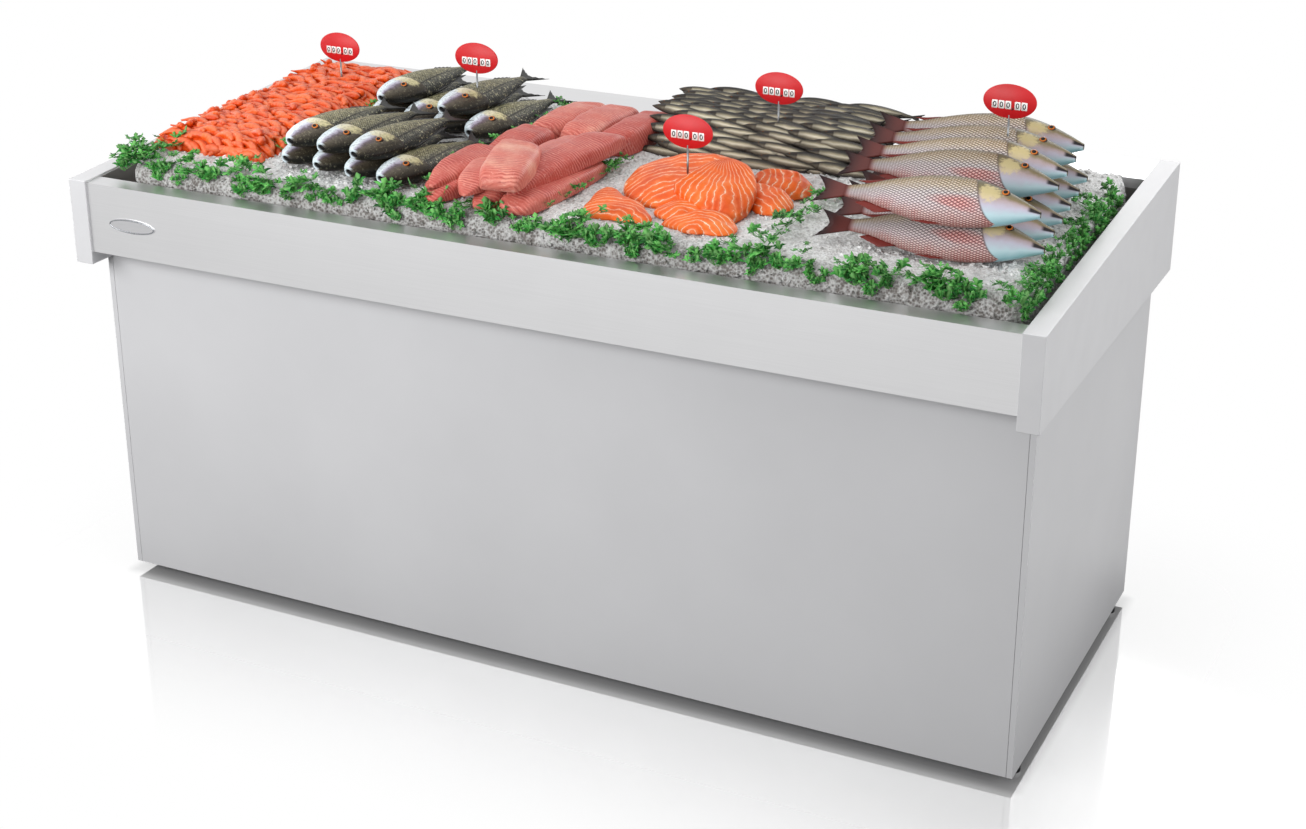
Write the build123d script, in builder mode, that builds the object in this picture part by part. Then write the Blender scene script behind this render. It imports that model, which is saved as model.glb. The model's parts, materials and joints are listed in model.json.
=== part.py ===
import os
from math import cos, radians, sin, sqrt

from build123d import *

os.makedirs("parts", exist_ok=True)

# Overall sizes. X runs along the counter, -Y is the customers' side, Z is up from the floor.
length = 2000.0
depth = 920.0
front_height = 895.0
back_height = 945.0
sheet = 1.5

# Clearances
seat_gap = 0.3
running_gap = 0.05
panel_joint = 0.8
weld_gap = 0.2

# End panels, which close the ends of the well
end_panel_thick = 40.0
end_panel_bottom = 721.0
end_panel_edge = 1.2

# Fascias and rims
fascia_setback = 5.0
fascia_bottom = 747.0
fascia_return = 25.0
rim_drop = 4.0
front_rim = 40.0
rear_rim = 116.0
rim_lip = 20.0

# Blank plate on the front fascia
nameplate_width = 112.0
nameplate_height = 30.0
nameplate_thick = 2.0
nameplate_from_end = 146.0
nameplate_below_middle = 5.0

# Tub
foam_floor = 30.0
coil_tube = 9.5
coil_pocket = 10.0
coil_pocket_margin = 40.0
coil_runs = 8
coil_margin = 75.0
coil_bend = 30.0
coil_tail_bend = 12.0
coil_tail_drop = 30.0
coil_tail_hole = 11.0
deck_height = 32.0
deck_skirt = 22.0
deck_panels_across = 3
deck_gap = 2.0
deck_hole = 5.0
deck_holes_across = 7
deck_holes_deep = 6
deck_hole_pitch = 80.0
deck_rail_width = 20.0
deck_rail_clearance = 15.5

# Drain
drain_from_door = 35.0
drain_from_rear_wall = 54.0
drain_flange = 30.0
drain_tail = 20.0
drain_tail_wall = 3.0
drain_tail_length = 80.0
drain_pipe_radius = 16.0
drain_pipe_wall = 2.5
drain_axis_height = 130.0
drain_bend = 34.0
valve_radius = 22.0
valve_length = 50.0
valve_reach = 36.0
spigot_radius = 18.0
spigot_from_panel = 4.0
stem_radius = 4.0
stem_boss = 9.0
stem_length = 9.0
lever_length = 90.0
lever_width = 16.0
lever_thick = 4.0

# Base
base_side_inset = 22.0
base_front_inset = 68.0
base_rear_inset = 56.0
base_bottom = 20.0
side_return = 11.0
tube = 30.0
tube_wall = 2.0
mid_upright_from_drain = 60.0
cross_rail_x = 420.0
floor_pan_bearing = 12.0

# Levelling feet
foot_radius = 14.0
foot_height = 11.0
foot_chamfer = 2.0
foot_stud = 5.0
foot_stud_top = 46.0
foot_from_rail = 46.0

# Service door at the back of the base
door_from_return = 42.0
door_width = 580.0
door_bottom = 110.0
door_height = 500.0
door_gap = 3.0
door_flange = 15.0
louvre_rows = 9
louvre_pitch = 36.0
louvre_length = 220.0
louvre_slot = 9.0
louvre_columns = 2
louvre_column_pitch = 262.0
hinge_height = 60.0
hinge_from_edge = 70.0
hinge_barrel = 5.0
hinge_pin = 2.5
hinge_leaf = 26.0
hinge_leaf_thick = 2.0
hinge_stand = 0.5
latch_from_edge = 24.0
latch_knob = 14.0
latch_knob_height = 14.0
latch_shaft = 5.0
latch_cam_length = 34.0
latch_cam_width = 14.0
latch_cam_thick = 4.0

# Panel screws
screw_radius = 2.0
screw_head = 4.2
screw_head_height = 2.4
screw_length = 6.0
screw_hole_gap = 0.2
screw_heights = (120.0, 400.0, 660.0)
screw_from_panel_end = 10.0

# Controls on the rear panel
control_height = 650.0
controller_from_upright = 100.0
controller_width = 77.0
controller_tall = 35.0
controller_frame = 6.0
controller_cutout_width = 71.0
controller_cutout_tall = 29.0
controller_body_depth = 55.0
display_width = 38.0
display_tall = 20.0
display_thick = 1.5
display_shift = -16.0
button_size = 7.0
button_pocket_gap = 0.2
button_pocket_depth = 5.0
button_thick = 4.7
button_stand = 1.5
button_pitch = 10.0
button_first = 13.0
switch_from_controller = 110.0
switch_width = 22.0
switch_tall = 32.0
switch_frame_thick = 3.0
switch_body_width = 19.0
switch_body_tall = 28.0
switch_body_depth = 25.0
switch_pocket_width = 14.0
switch_pocket_tall = 24.0
switch_pocket_depth = 12.0
rocker_width = 13.4
rocker_half = 10.0
rocker_tilt = 8.0
rocker_pin = 1.5
rocker_pin_bite = 1.5
gland_from_upright = 100.0
gland_height = 100.0
gland_thread = 8.0
gland_flange = 12.0
gland_bore = 4.5
gland_inside = 14.0
gland_outside = 20.0
cutout_gap = 0.3

# Condensing unit
unit_from_side = 308.0
unit_y = 160.0
unit_width = 480.0
unit_depth = 340.0
unit_height = 25.0
unit_sheet = 2.0
compressor_from_unit = 100.0
compressor_y = 60.0
compressor_radius = 78.0
compressor_height = 190.0
compressor_plate_width = 200.0
compressor_plate_depth = 150.0
compressor_plate_thick = 4.0
stub_radius = 5.0
stub_spread = 36.0
stub_rise = 26.0
grommet_radius = 12.0
grommet_height = 14.0
grommet_spread_x = 160.0
grommet_spread_y = 110.0
condenser_width = 340.0
condenser_depth = 60.0
condenser_height = 320.0
condenser_back = 330.0
fin_count = 24
fin_slot = 6.0
fin_slot_depth = 10.0
fin_margin = 20.0
shroud_size = 300.0
shroud_depth = 40.0
shroud_wall = 4.0
shroud_bore = 128.0
fan_tip = 122.0
fan_hub = 28.0
fan_blades = 5
fan_depth = 26.0
fan_blade_chord = 42.0
fan_blade_thick = 3.0
fan_blade_pitch = 28.0
fan_from_condenser = 8.0
motor_radius = 42.0
motor_length = 65.0
motor_shaft = 5.0
motor_gap = 18.0
motor_post_width = 50.0
motor_post_thick = 20.0
pipe_radius = 5.0
pipe_bend = 22.0
pipe_rise_from_side = 88.0
pipe_level_low = 110.0
pipe_level_high = 360.0
pipe_side_reach = 30.0
liquid_level = 660.0
suction_level = 620.0
drier_radius = 12.0
drier_length = 90.0
drier_bottom = 200.0
drier_y = 120.0
electrical_width = 160.0
electrical_depth = 80.0
electrical_tall = 140.0
electrical_from_upright = 160.0
electrical_bottom = 420.0

# Bed of crushed ice
ice_front_gap = 12.0
ice_rear_gap = 14.0
ice_left_gap = 55.0
ice_right_gap = 22.0
ice_front_top = 935.0
ice_rise = 22.0
ice_shoulder = 38.0

# Goods on the ice
goods_gap = 14.0
goods_row_gap = 6.0
prawn_gap = 44.0
prawn_bed_thick = 38.0
prawn_bed_flare = 14.0
prawn_bed_corner = 40.0
prawn_front_margin = 95.0
prawn_rear_margin = 28.0
bass_length = 318.0
bass_half_deep = 44.0
bass_half_thick = 20.0
bass_roll = 12.0
bass_yaw = 8.0
bass_gap = 60.0
bass_columns_most = 4
bass_rear_seats = (0, 2)
loin_length = 190.0
loin_half_wide = 38.0
loin_half_tall = 24.0
loin_columns = 3
salmon_half_long = 64.0
salmon_half_wide = 50.0
salmon_thick = 34.0
salmon_columns = 3
salmon_rows = 3
salmon_front_margin = 18.0
top_salmon_half_long = 80.0
top_salmon_half_wide = 66.0
top_salmon_thick = 36.0
top_salmon_shift = 30.0
sardine_length = 155.0
sardine_half_wide = 17.0
sardine_half_tall = 16.0
sardine_columns = 3
sardine_layers = 3
sardine_layer_shift = 0.25
sardine_gap = 26.0
sardine_front = 460.0
snapper_length = 400.0
snapper_half_thick = 24.0
snapper_half_deep = 54.0
snapper_roll = 28.0
snapper_yaw = 5.0
snapper_nose_margin = 8.0
snapper_upper_shift = 12.0
snapper_front_margin = 76.0
snapper_rows_most = 6
snapper_empty_seat = 1

# Price tags
tag_width = 101.0
tag_tall = 64.0
tag_thick = 3.0
tag_stake = 2.0
tag_depth = 24.0
tag_centre = 60.0
tag_stake_overlap = 8.0
tag_bore_spare = 1.0
tag_bore_top = 14.0
tag_salmon_along = 22.0
tag_salmon_back = 20.0
tag_bass_along = 0.36
tag_sardine_along = 0.12
tag_snapper_along = 0.32

# Places worked out from the sizes above
half_length = length / 2
front_y = -depth / 2
back_y = depth / 2
inner_x = half_length - end_panel_thick
fascia_y = front_y + fascia_setback
well_front = fascia_y + front_rim
well_rear = back_y - rear_rim
base_x = half_length - base_side_inset
base_front = front_y + base_front_inset
base_rear = back_y - base_rear_inset
base_top = fascia_bottom
rim_slope = (back_height - front_height) / depth
top_height = max(front_height, back_height)
foam_bottom = fascia_bottom + sheet
liner_bottom = foam_bottom + foam_floor
tub_floor = liner_bottom + sheet
liner_front = well_front - 2 * sheet
liner_rear = well_rear + 2 * sheet
deck_top = tub_floor + deck_height + sheet
well_middle = (well_front + well_rear) / 2
drain_y = well_rear - drain_from_rear_wall
deck_rail_rear = drain_y - drain_flange - deck_rail_clearance - deck_rail_width / 2
deck_rail_pitch = deck_rail_rear - well_middle
frame_bottom = base_bottom + sheet
frame_low_top = frame_bottom + tube
frame_front = base_front + sheet + tube / 2
frame_rear = base_rear - sheet - tube / 2
frame_end = base_x - sheet - tube / 2
pan_top = frame_low_top + sheet
door_right = base_x - side_return - door_from_return
door_left = door_right - door_width
drain_x = door_left - drain_from_door
mid_upright_x = drain_x - mid_upright_from_drain
controller_x = mid_upright_x - controller_from_upright
switch_x = controller_x - switch_from_controller
gland_x = mid_upright_x - gland_from_upright
electrical_x = mid_upright_x - electrical_from_upright
unit_x = base_x - unit_from_side
compressor_x = unit_x - compressor_from_unit
pipe_rise_x = base_x - pipe_rise_from_side
door_top = door_bottom + door_height
unit_top = pan_top + unit_height


def rim_height(y):
    return front_height - rim_drop + (y - front_y) * rim_slope


def save(piece, name):
    piece.part.label = name
    export_step(piece.part, f"parts/{name}.step")


# End panels
for side, side_name in ((-1, "left"), (1, "right")):
    with BuildPart() as end_panel:
        with BuildSketch(Plane.YZ.offset(side * (half_length - end_panel_thick / 2))):
            with BuildLine():
                Polyline(
                    (front_y, end_panel_bottom),
                    (back_y, end_panel_bottom),
                    (back_y, back_height),
                    (front_y, front_height),
                    close=True,
                )
            make_face()
        extrude(amount=end_panel_thick / 2, both=True)
        fillet(end_panel.edges(), end_panel_edge)
    save(end_panel, f"{side_name}_end_panel")

# Fascias, each folded from one sheet with its rim, its lip into the well and its bottom return
for fascia_name, face_y, well_y, inward in (
    ("front_fascia", fascia_y, well_front, 1),
    ("rear_fascia", back_y, well_rear, -1),
):
    skin_y = face_y + inward * sheet
    lip_y = well_y - inward * sheet
    return_y = face_y + inward * fascia_return
    lip_bottom = rim_height(well_y) - rim_lip
    with BuildPart() as fascia:
        with BuildSketch(Plane.YZ):
            with BuildLine():
                Polyline(
                    (face_y, fascia_bottom),
                    (face_y, rim_height(face_y)),
                    (well_y, rim_height(well_y)),
                    (well_y, lip_bottom),
                    (lip_y, lip_bottom),
                    (lip_y, rim_height(lip_y) - sheet),
                    (skin_y, rim_height(skin_y) - sheet),
                    (skin_y, fascia_bottom + sheet),
                    (return_y, fascia_bottom + sheet),
                    (return_y, fascia_bottom),
                    close=True,
                )
            make_face()
        extrude(amount=inner_x, both=True)
    save(fascia, fascia_name)

# Blank plate on the front fascia
nameplate_centre = (
    -half_length + nameplate_from_end,
    (fascia_bottom + rim_height(fascia_y)) / 2 - nameplate_below_middle,
)
with BuildPart() as nameplate:
    with BuildSketch(Plane.XZ.offset(-fascia_y)):
        with Locations(nameplate_centre):
            Ellipse(nameplate_width / 2, nameplate_height / 2)
    extrude(amount=nameplate_thick)
    chamfer(nameplate.faces().sort_by(Axis.Y)[0].edges(), nameplate_thick / 4)
save(nameplate, "nameplate")

# Tub liner
drain_place = (drain_x, drain_y)
with BuildPart() as tub_liner:
    with BuildSketch(Plane.YZ):
        with BuildLine():
            Polyline(
                (liner_front, liner_bottom),
                (liner_rear, liner_bottom),
                (liner_rear, rim_height(liner_rear) - sheet),
                (liner_front, rim_height(liner_front) - sheet),
                close=True,
            )
        make_face()
    extrude(amount=inner_x, both=True)
    with BuildSketch(Plane.YZ):
        with BuildLine():
            Polyline(
                (liner_front + sheet, tub_floor),
                (liner_rear - sheet, tub_floor),
                (liner_rear - sheet, top_height),
                (liner_front + sheet, top_height),
                close=True,
            )
        make_face()
    extrude(amount=inner_x - sheet, both=True, mode=Mode.SUBTRACT)
    with Locations((drain_x, drain_y, liner_bottom)):
        Cylinder(drain_tail + running_gap, 4 * sheet, mode=Mode.SUBTRACT)
    for lip_edge, inward in ((well_front, 1), (well_rear, -1)):
        with Locations((0, lip_edge - inward * sheet / 2, rim_height(lip_edge))):
            Box(2 * inner_x, sheet, 2 * rim_lip, mode=Mode.SUBTRACT)
save(tub_liner, "tub_liner")

# Evaporator coil, one tube folded to and fro under the tub's floor, with both tails at the machine's end
coil_level = liner_bottom - coil_pocket / 2
coil_front = liner_front + coil_margin
coil_rear = drain_y - drain_tail - coil_margin / 2
coil_pitch = (coil_rear - coil_front) / (coil_runs - 1)
coil_end = pipe_rise_x
coil_tail_end = fascia_bottom - coil_tail_drop
coil_points = [(coil_end, coil_front, coil_tail_end), (coil_end, coil_front, coil_level)]
for run in range(coil_runs):
    run_y = coil_front + run * coil_pitch
    leftward = run % 2 == 0
    if run > 0:
        coil_points.append((coil_end if leftward else -coil_end, run_y, coil_level))
    if run < coil_runs - 1:
        coil_points.append((-coil_end if leftward else coil_end, run_y, coil_level))
coil_points.append((coil_end, coil_rear, coil_level))
coil_points.append((coil_end, coil_rear, coil_tail_end))
coil_radii = [coil_tail_bend] + [coil_bend] * (len(coil_points) - 4) + [coil_tail_bend]
with BuildPart() as evaporator_coil:
    with BuildLine() as coil_path:
        FilletPolyline(*coil_points, radius=coil_radii)
    with BuildSketch(Plane(origin=coil_path.line @ 0, z_dir=coil_path.line % 0)):
        Circle(coil_tube / 2)
    sweep()
save(evaporator_coil, "evaporator_coil")
coil_tails = [(coil_end, coil_front), (coil_end, coil_rear)]

# Foam around the tub
with BuildPart() as tub_insulation:
    skin_front = fascia_y + sheet
    skin_rear = back_y - sheet
    with BuildSketch(Plane.YZ):
        with BuildLine():
            Polyline(
                (skin_front, foam_bottom),
                (skin_rear, foam_bottom),
                (skin_rear, rim_height(skin_rear) - sheet),
                (liner_rear, rim_height(liner_rear) - sheet),
                (liner_rear, liner_bottom),
                (liner_front, liner_bottom),
                (liner_front, rim_height(liner_front) - sheet),
                (skin_front, rim_height(skin_front) - sheet),
                close=True,
            )
        make_face()
    extrude(amount=inner_x, both=True)
    pocket_front = coil_front - coil_pocket_margin / 2
    pocket_rear = coil_rear + coil_pocket_margin / 2
    with BuildSketch(Plane.XY.offset(liner_bottom)):
        with Locations((0, (pocket_front + pocket_rear) / 2)):
            Rectangle(2 * coil_end + coil_pocket_margin, pocket_rear - pocket_front)
    extrude(amount=-coil_pocket, mode=Mode.SUBTRACT)
    with BuildSketch(Plane.XY.offset(liner_bottom)):
        with Locations(drain_place):
            Circle(drain_tail + panel_joint)
        with Locations(*coil_tails):
            Circle(coil_tail_hole)
    extrude(amount=-foam_floor, mode=Mode.SUBTRACT)
save(tub_insulation, "tub_insulation")

# Pan under the foam
with BuildPart() as tub_underpan:
    pan_front = fascia_y + fascia_return
    pan_rear = back_y - fascia_return
    with BuildSketch(Plane.XY.offset(fascia_bottom)):
        with Locations((0, (pan_front + pan_rear) / 2)):
            Rectangle(2 * inner_x, pan_rear - pan_front)
        with Locations(drain_place):
            Circle(drain_tail + panel_joint, mode=Mode.SUBTRACT)
        with Locations(*coil_tails):
            Circle(coil_tube / 2 + panel_joint, mode=Mode.SUBTRACT)
    extrude(amount=sheet)
save(tub_underpan, "tub_underpan")

# Rails that carry the deck
with BuildPart() as deck_rails:
    with BuildSketch(Plane.YZ):
        with Locations((well_middle, tub_floor + deck_height / 2)):
            with GridLocations(deck_rail_pitch, 0, 3, 1):
                Rectangle(deck_rail_width, deck_height)
                Rectangle(deck_rail_width - 2 * sheet, deck_height - 2 * sheet, mode=Mode.SUBTRACT)
    extrude(amount=inner_x - sheet - deck_gap, both=True)
save(deck_rails, "deck_rails")

# Perforated deck panels, side by side, with their front and rear edges folded down
deck_front = well_front + deck_gap
deck_rear = well_rear - deck_gap
deck_room = 2 * (inner_x - sheet)
deck_pitch = (deck_room - deck_gap) / deck_panels_across
deck_panel_width = deck_pitch - deck_gap
with BuildPart() as deck_panels:
    with BuildSketch(Plane.XY.offset(deck_top)):
        with GridLocations(deck_pitch, 0, deck_panels_across, 1):
            with Locations((0, well_middle)):
                Rectangle(deck_panel_width, deck_rear - deck_front)
                with GridLocations(deck_hole_pitch, deck_hole_pitch, deck_holes_across, deck_holes_deep):
                    Circle(deck_hole, mode=Mode.SUBTRACT)
    extrude(amount=-sheet)
    with BuildSketch(Plane.XY.offset(deck_top - sheet)):
        with GridLocations(deck_pitch, 0, deck_panels_across, 1):
            with Locations((0, deck_front + sheet / 2), (0, deck_rear - sheet / 2)):
                Rectangle(deck_panel_width, sheet)
    extrude(amount=-deck_skirt)
save(deck_panels, "deck_panels")

# Drain fitting, flanged onto the tub's floor
drain_tail_end = tub_floor - drain_tail_length
with BuildPart() as drain_fitting:
    with BuildSketch(Plane.XY.offset(tub_floor)):
        with Locations(drain_place):
            Circle(drain_flange)
    extrude(amount=2 * sheet)
    with BuildSketch(Plane.XY.offset(tub_floor)):
        with Locations(drain_place):
            Circle(drain_tail)
    extrude(amount=-drain_tail_length)
    with BuildSketch(Plane.XY.offset(tub_floor + 2 * sheet)):
        with Locations(drain_place):
            Circle(drain_tail - drain_tail_wall)
    extrude(amount=-drain_tail_length - 2 * sheet, mode=Mode.SUBTRACT)
save(drain_fitting, "drain_fitting")

# Drain pipe, down from the fitting and back to the valve
valve_start = base_rear - sheet - valve_length - drain_tail
with BuildPart() as drain_pipe:
    with BuildLine() as drain_path:
        FilletPolyline(
            (drain_x, drain_y, drain_tail_end),
            (drain_x, drain_y, drain_axis_height),
            (drain_x, valve_start, drain_axis_height),
            radius=min(drain_bend, valve_start - drain_y - sheet),
        )
    with BuildSketch(Plane.XY.offset(drain_tail_end)):
        with Locations(drain_place):
            Circle(drain_pipe_radius)
            Circle(drain_pipe_radius - drain_pipe_wall, mode=Mode.SUBTRACT)
    sweep()
save(drain_pipe, "drain_pipe")

# Drain valve with the spigot that passes out through the rear panel
valve_centre = (drain_x, valve_start + valve_length / 2, drain_axis_height)
stem_start = drain_x + valve_radius - sheet
lever_x = drain_x + valve_radius + stem_length
with BuildPart() as drain_valve:
    with BuildSketch(Plane.XZ.offset(-valve_start)):
        with Locations((drain_x, drain_axis_height)):
            Circle(valve_radius)
    extrude(amount=-valve_length)
    with BuildSketch(Plane.XZ.offset(-valve_start - valve_length)):
        with Locations((drain_x, drain_axis_height)):
            Circle(drain_pipe_radius)
    extrude(amount=-(base_rear + spigot_from_panel - valve_start - valve_length))
    with BuildSketch(Plane.XZ.offset(-base_rear - spigot_from_panel)):
        with Locations((drain_x, drain_axis_height)):
            Circle(spigot_radius)
    extrude(amount=-(valve_reach - spigot_from_panel))
    with BuildSketch(Plane.YZ.offset(stem_start)):
        with Locations((valve_centre[1], drain_axis_height)):
            Circle(stem_boss)
    extrude(amount=lever_x - stem_start)
    with BuildSketch(Plane.YZ.offset(lever_x)):
        with Locations((valve_centre[1], drain_axis_height)):
            Circle(stem_radius)
    extrude(amount=2 * lever_thick)
    with BuildSketch(Plane.XZ.offset(-valve_start)):
        with Locations((drain_x, drain_axis_height)):
            Circle(drain_pipe_radius - drain_pipe_wall)
    extrude(amount=-(base_rear + valve_reach - valve_start), mode=Mode.SUBTRACT)
save(drain_valve, "drain_valve")

# Drain lever, upright when the valve is shut
with BuildPart() as drain_lever:
    with BuildSketch(Plane.YZ.offset(lever_x + seat_gap)):
        with Locations((valve_centre[1], drain_axis_height + lever_length / 2)):
            SlotCenterToCenter(lever_length, lever_width, rotation=90)
        with Locations((valve_centre[1], drain_axis_height)):
            Circle(stem_radius + running_gap, mode=Mode.SUBTRACT)
    extrude(amount=lever_thick)
save(drain_lever, "drain_lever")

# Base frame of square tube, each length a solid of its own
upright_places = [(x, y) for x in (-frame_end, frame_end) for y in (frame_front, frame_rear)]
mid_places = [(mid_upright_x, frame_front), (mid_upright_x, frame_rear)]
foot_places = [
    (x, y)
    for x in (-frame_end, frame_end)
    for y in (frame_front + foot_from_rail, frame_rear - foot_from_rail)
]
upright_top = base_top - tube
screw_columns = (
    -(base_x - side_return) + screw_from_panel_end,
    mid_upright_x,
    (base_x - side_return) - screw_from_panel_end,
)
screw_places = [(x, z) for x in screw_columns for z in screw_heights]
rail_span = frame_rear - frame_front - tube - 2 * weld_gap
end_rail_middle = (frame_front + frame_rear) / 2


def square_tube():
    Rectangle(tube, tube)
    Rectangle(tube - 2 * tube_wall, tube - 2 * tube_wall, mode=Mode.SUBTRACT)


with BuildPart() as base_frame:
    with BuildSketch(Plane.XY.offset(frame_bottom)):
        with Locations(*upright_places):
            square_tube()
    extrude(amount=upright_top - weld_gap - frame_bottom)
    with BuildSketch(Plane.XY.offset(frame_low_top + weld_gap)):
        with Locations(*mid_places):
            square_tube()
    extrude(amount=upright_top - frame_low_top - 2 * weld_gap)
    with BuildSketch(Plane.YZ):
        with Locations((frame_front, frame_bottom + tube / 2), (frame_rear, frame_bottom + tube / 2)):
            square_tube()
    extrude(amount=frame_end - tube / 2 - weld_gap, both=True)
    with BuildSketch(Plane.YZ):
        with Locations((frame_front, base_top - tube / 2), (frame_rear, base_top - tube / 2)):
            square_tube()
    extrude(amount=inner_x - seat_gap, both=True)
    with BuildSketch(Plane.XZ.offset(-end_rail_middle)):
        with Locations(
            (-frame_end, frame_bottom + tube / 2),
            (frame_end, frame_bottom + tube / 2),
            (-frame_end, upright_top - tube / 2 - weld_gap),
            (frame_end, upright_top - tube / 2 - weld_gap),
            (-cross_rail_x, frame_bottom + tube / 2),
            (cross_rail_x, frame_bottom + tube / 2),
            (-cross_rail_x, base_top - tube / 2),
            (cross_rail_x, base_top - tube / 2),
        ):
            square_tube()
    extrude(amount=rail_span / 2, both=True)
    with BuildSketch(Plane.XY.offset(frame_bottom)):
        with Locations(*foot_places):
            Circle(foot_stud + running_gap)
    extrude(amount=tube_wall, mode=Mode.SUBTRACT)
    with BuildSketch(Plane.XZ.offset(sheet - base_rear)):
        with Locations(*screw_places):
            Circle(screw_radius + running_gap)
    extrude(amount=tube_wall, mode=Mode.SUBTRACT)
save(base_frame, "base_frame")

# Front panel, notched at its top corners to clear the end panels
panel_half = base_x - side_return - panel_joint
with BuildPart() as front_panel:
    with BuildSketch(Plane.XZ.offset(-base_front)):
        with Locations((0, (base_bottom + end_panel_bottom) / 2)):
            Rectangle(2 * panel_half, end_panel_bottom - base_bottom)
        with Locations((0, (end_panel_bottom + base_top) / 2)):
            Rectangle(2 * (inner_x - seat_gap), base_top - end_panel_bottom)
    extrude(amount=-sheet)
save(front_panel, "front_panel")

# Side panels, each folded round the front and rear corners
for side, side_name in ((-1, "left"), (1, "right")):
    with BuildPart() as side_panel:
        with BuildSketch(Plane.XY.offset(base_bottom)):
            with BuildLine():
                Polyline(
                    (side * (base_x - side_return), base_front),
                    (side * base_x, base_front),
                    (side * base_x, base_rear),
                    (side * (base_x - side_return), base_rear),
                    (side * (base_x - side_return), base_rear - sheet),
                    (side * (base_x - sheet), base_rear - sheet),
                    (side * (base_x - sheet), base_front + sheet),
                    (side * (base_x - side_return), base_front + sheet),
                    close=True,
                )
            make_face()
        extrude(amount=end_panel_bottom - base_bottom)
    save(side_panel, f"{side_name}_side_panel")

# Rear panel with its door opening, whose edges are folded inwards
door_centre = (door_left + door_width / 2, door_bottom + door_height / 2)
with BuildPart() as rear_panel:
    with BuildSketch(Plane.XZ.offset(-base_rear)):
        with Locations((0, (base_bottom + end_panel_bottom) / 2)):
            Rectangle(2 * panel_half, end_panel_bottom - base_bottom)
        with Locations((0, (end_panel_bottom + base_top) / 2)):
            Rectangle(2 * (inner_x - seat_gap), base_top - end_panel_bottom)
        with Locations((controller_x, control_height)):
            Rectangle(controller_cutout_width, controller_cutout_tall, mode=Mode.SUBTRACT)
        with Locations((switch_x, control_height)):
            Rectangle(
                switch_body_width + 2 * cutout_gap, switch_body_tall + 2 * cutout_gap, mode=Mode.SUBTRACT
            )
        with Locations((gland_x, gland_height)):
            Circle(gland_thread + cutout_gap, mode=Mode.SUBTRACT)
        with Locations((drain_x, drain_axis_height)):
            Circle(drain_pipe_radius + panel_joint, mode=Mode.SUBTRACT)
        with Locations(*screw_places):
            Circle(screw_radius + screw_hole_gap, mode=Mode.SUBTRACT)
    extrude(amount=sheet)
    with BuildSketch(Plane.XZ.offset(-base_rear)):
        with Locations(door_centre):
            Rectangle(door_width + 2 * sheet, door_height + 2 * sheet)
    extrude(amount=door_flange)
    with BuildSketch(Plane.XZ.offset(-base_rear)):
        with Locations(door_centre):
            Rectangle(door_width, door_height)
    extrude(amount=door_flange, mode=Mode.SUBTRACT)
save(rear_panel, "rear_panel")

# Floor pan, notched round the middle uprights
with BuildPart() as floor_pan:
    pan_y = (frame_front + frame_rear) / 2
    with BuildSketch(Plane.XY.offset(frame_low_top)):
        with Locations((0, pan_y)):
            Rectangle(
                2 * (frame_end - tube / 2 - seat_gap),
                frame_rear - frame_front - tube + 2 * floor_pan_bearing,
            )
        with Locations(*mid_places):
            Rectangle(tube + 2 * panel_joint, tube + 2 * panel_joint, mode=Mode.SUBTRACT)
    extrude(amount=sheet)
save(floor_pan, "floor_pan")

# Levelling feet
foot_names = ("front_left_foot", "rear_left_foot", "front_right_foot", "rear_right_foot")
for foot_name, (foot_x, foot_y) in zip(foot_names, foot_places):
    with BuildPart() as foot:
        with BuildSketch():
            with Locations((foot_x, foot_y)):
                Circle(foot_radius)
        extrude(amount=foot_height)
        chamfer(foot.edges().group_by(Axis.Z)[-1], foot_chamfer)
        with BuildSketch(Plane.XY.offset(foot_height)):
            with Locations((foot_x, foot_y)):
                Circle(foot_stud)
        extrude(amount=foot_stud_top - foot_height)
    save(foot, foot_name)

# Service door: a folded panel with louvre slots and the moving leaves of its two hinges
hinge_axis_x = door_right - door_gap / 2
hinge_axis_y = base_rear + hinge_barrel + hinge_stand
knuckle = hinge_height / 3
hinge_middles = (door_bottom + hinge_from_edge, door_top - hinge_from_edge)
leaf_reach = hinge_barrel + door_gap / 2
latch_place = (door_left + latch_from_edge, door_centre[1])
with BuildPart() as service_door:
    with BuildSketch(Plane.XZ.offset(-base_rear)):
        with Locations(door_centre):
            Rectangle(door_width - 2 * door_gap, door_height - 2 * door_gap)
    extrude(amount=door_flange)
    with BuildSketch(Plane.XZ.offset(sheet - base_rear)):
        with Locations(door_centre):
            Rectangle(door_width - 2 * door_gap - 2 * sheet, door_height - 2 * door_gap - 2 * sheet)
    extrude(amount=door_flange - sheet, mode=Mode.SUBTRACT)
    with BuildSketch(Plane.XZ.offset(-base_rear)):
        with Locations(door_centre):
            with GridLocations(louvre_column_pitch, louvre_pitch, louvre_columns, louvre_rows):
                SlotOverall(louvre_length, louvre_slot)
        with Locations(latch_place):
            Circle(latch_shaft + running_gap)
    extrude(amount=sheet, mode=Mode.SUBTRACT)
    for middle in hinge_middles:
        with BuildSketch(Plane.XZ.offset(-base_rear)):
            with Locations((hinge_axis_x - hinge_leaf / 2, middle)):
                Rectangle(hinge_leaf, hinge_height)
        extrude(amount=-hinge_leaf_thick)
        for end in (-1, 1):
            with BuildSketch(Plane.XY.offset(middle + end * knuckle)):
                with Locations((hinge_axis_x, hinge_axis_y)):
                    Circle(hinge_barrel)
            extrude(amount=knuckle / 2, both=True)
        with BuildSketch(Plane.XY.offset(middle)):
            with Locations((hinge_axis_x, hinge_axis_y)):
                Rectangle(2 * leaf_reach, 2 * (hinge_barrel + hinge_stand))
        extrude(amount=knuckle / 2 + seat_gap, both=True, mode=Mode.SUBTRACT)
        with BuildSketch(Plane.XY.offset(middle)):
            with Locations((hinge_axis_x, hinge_axis_y)):
                Circle(hinge_pin + running_gap)
        extrude(amount=hinge_height, both=True, mode=Mode.SUBTRACT)
save(service_door, "service_door")

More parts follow.
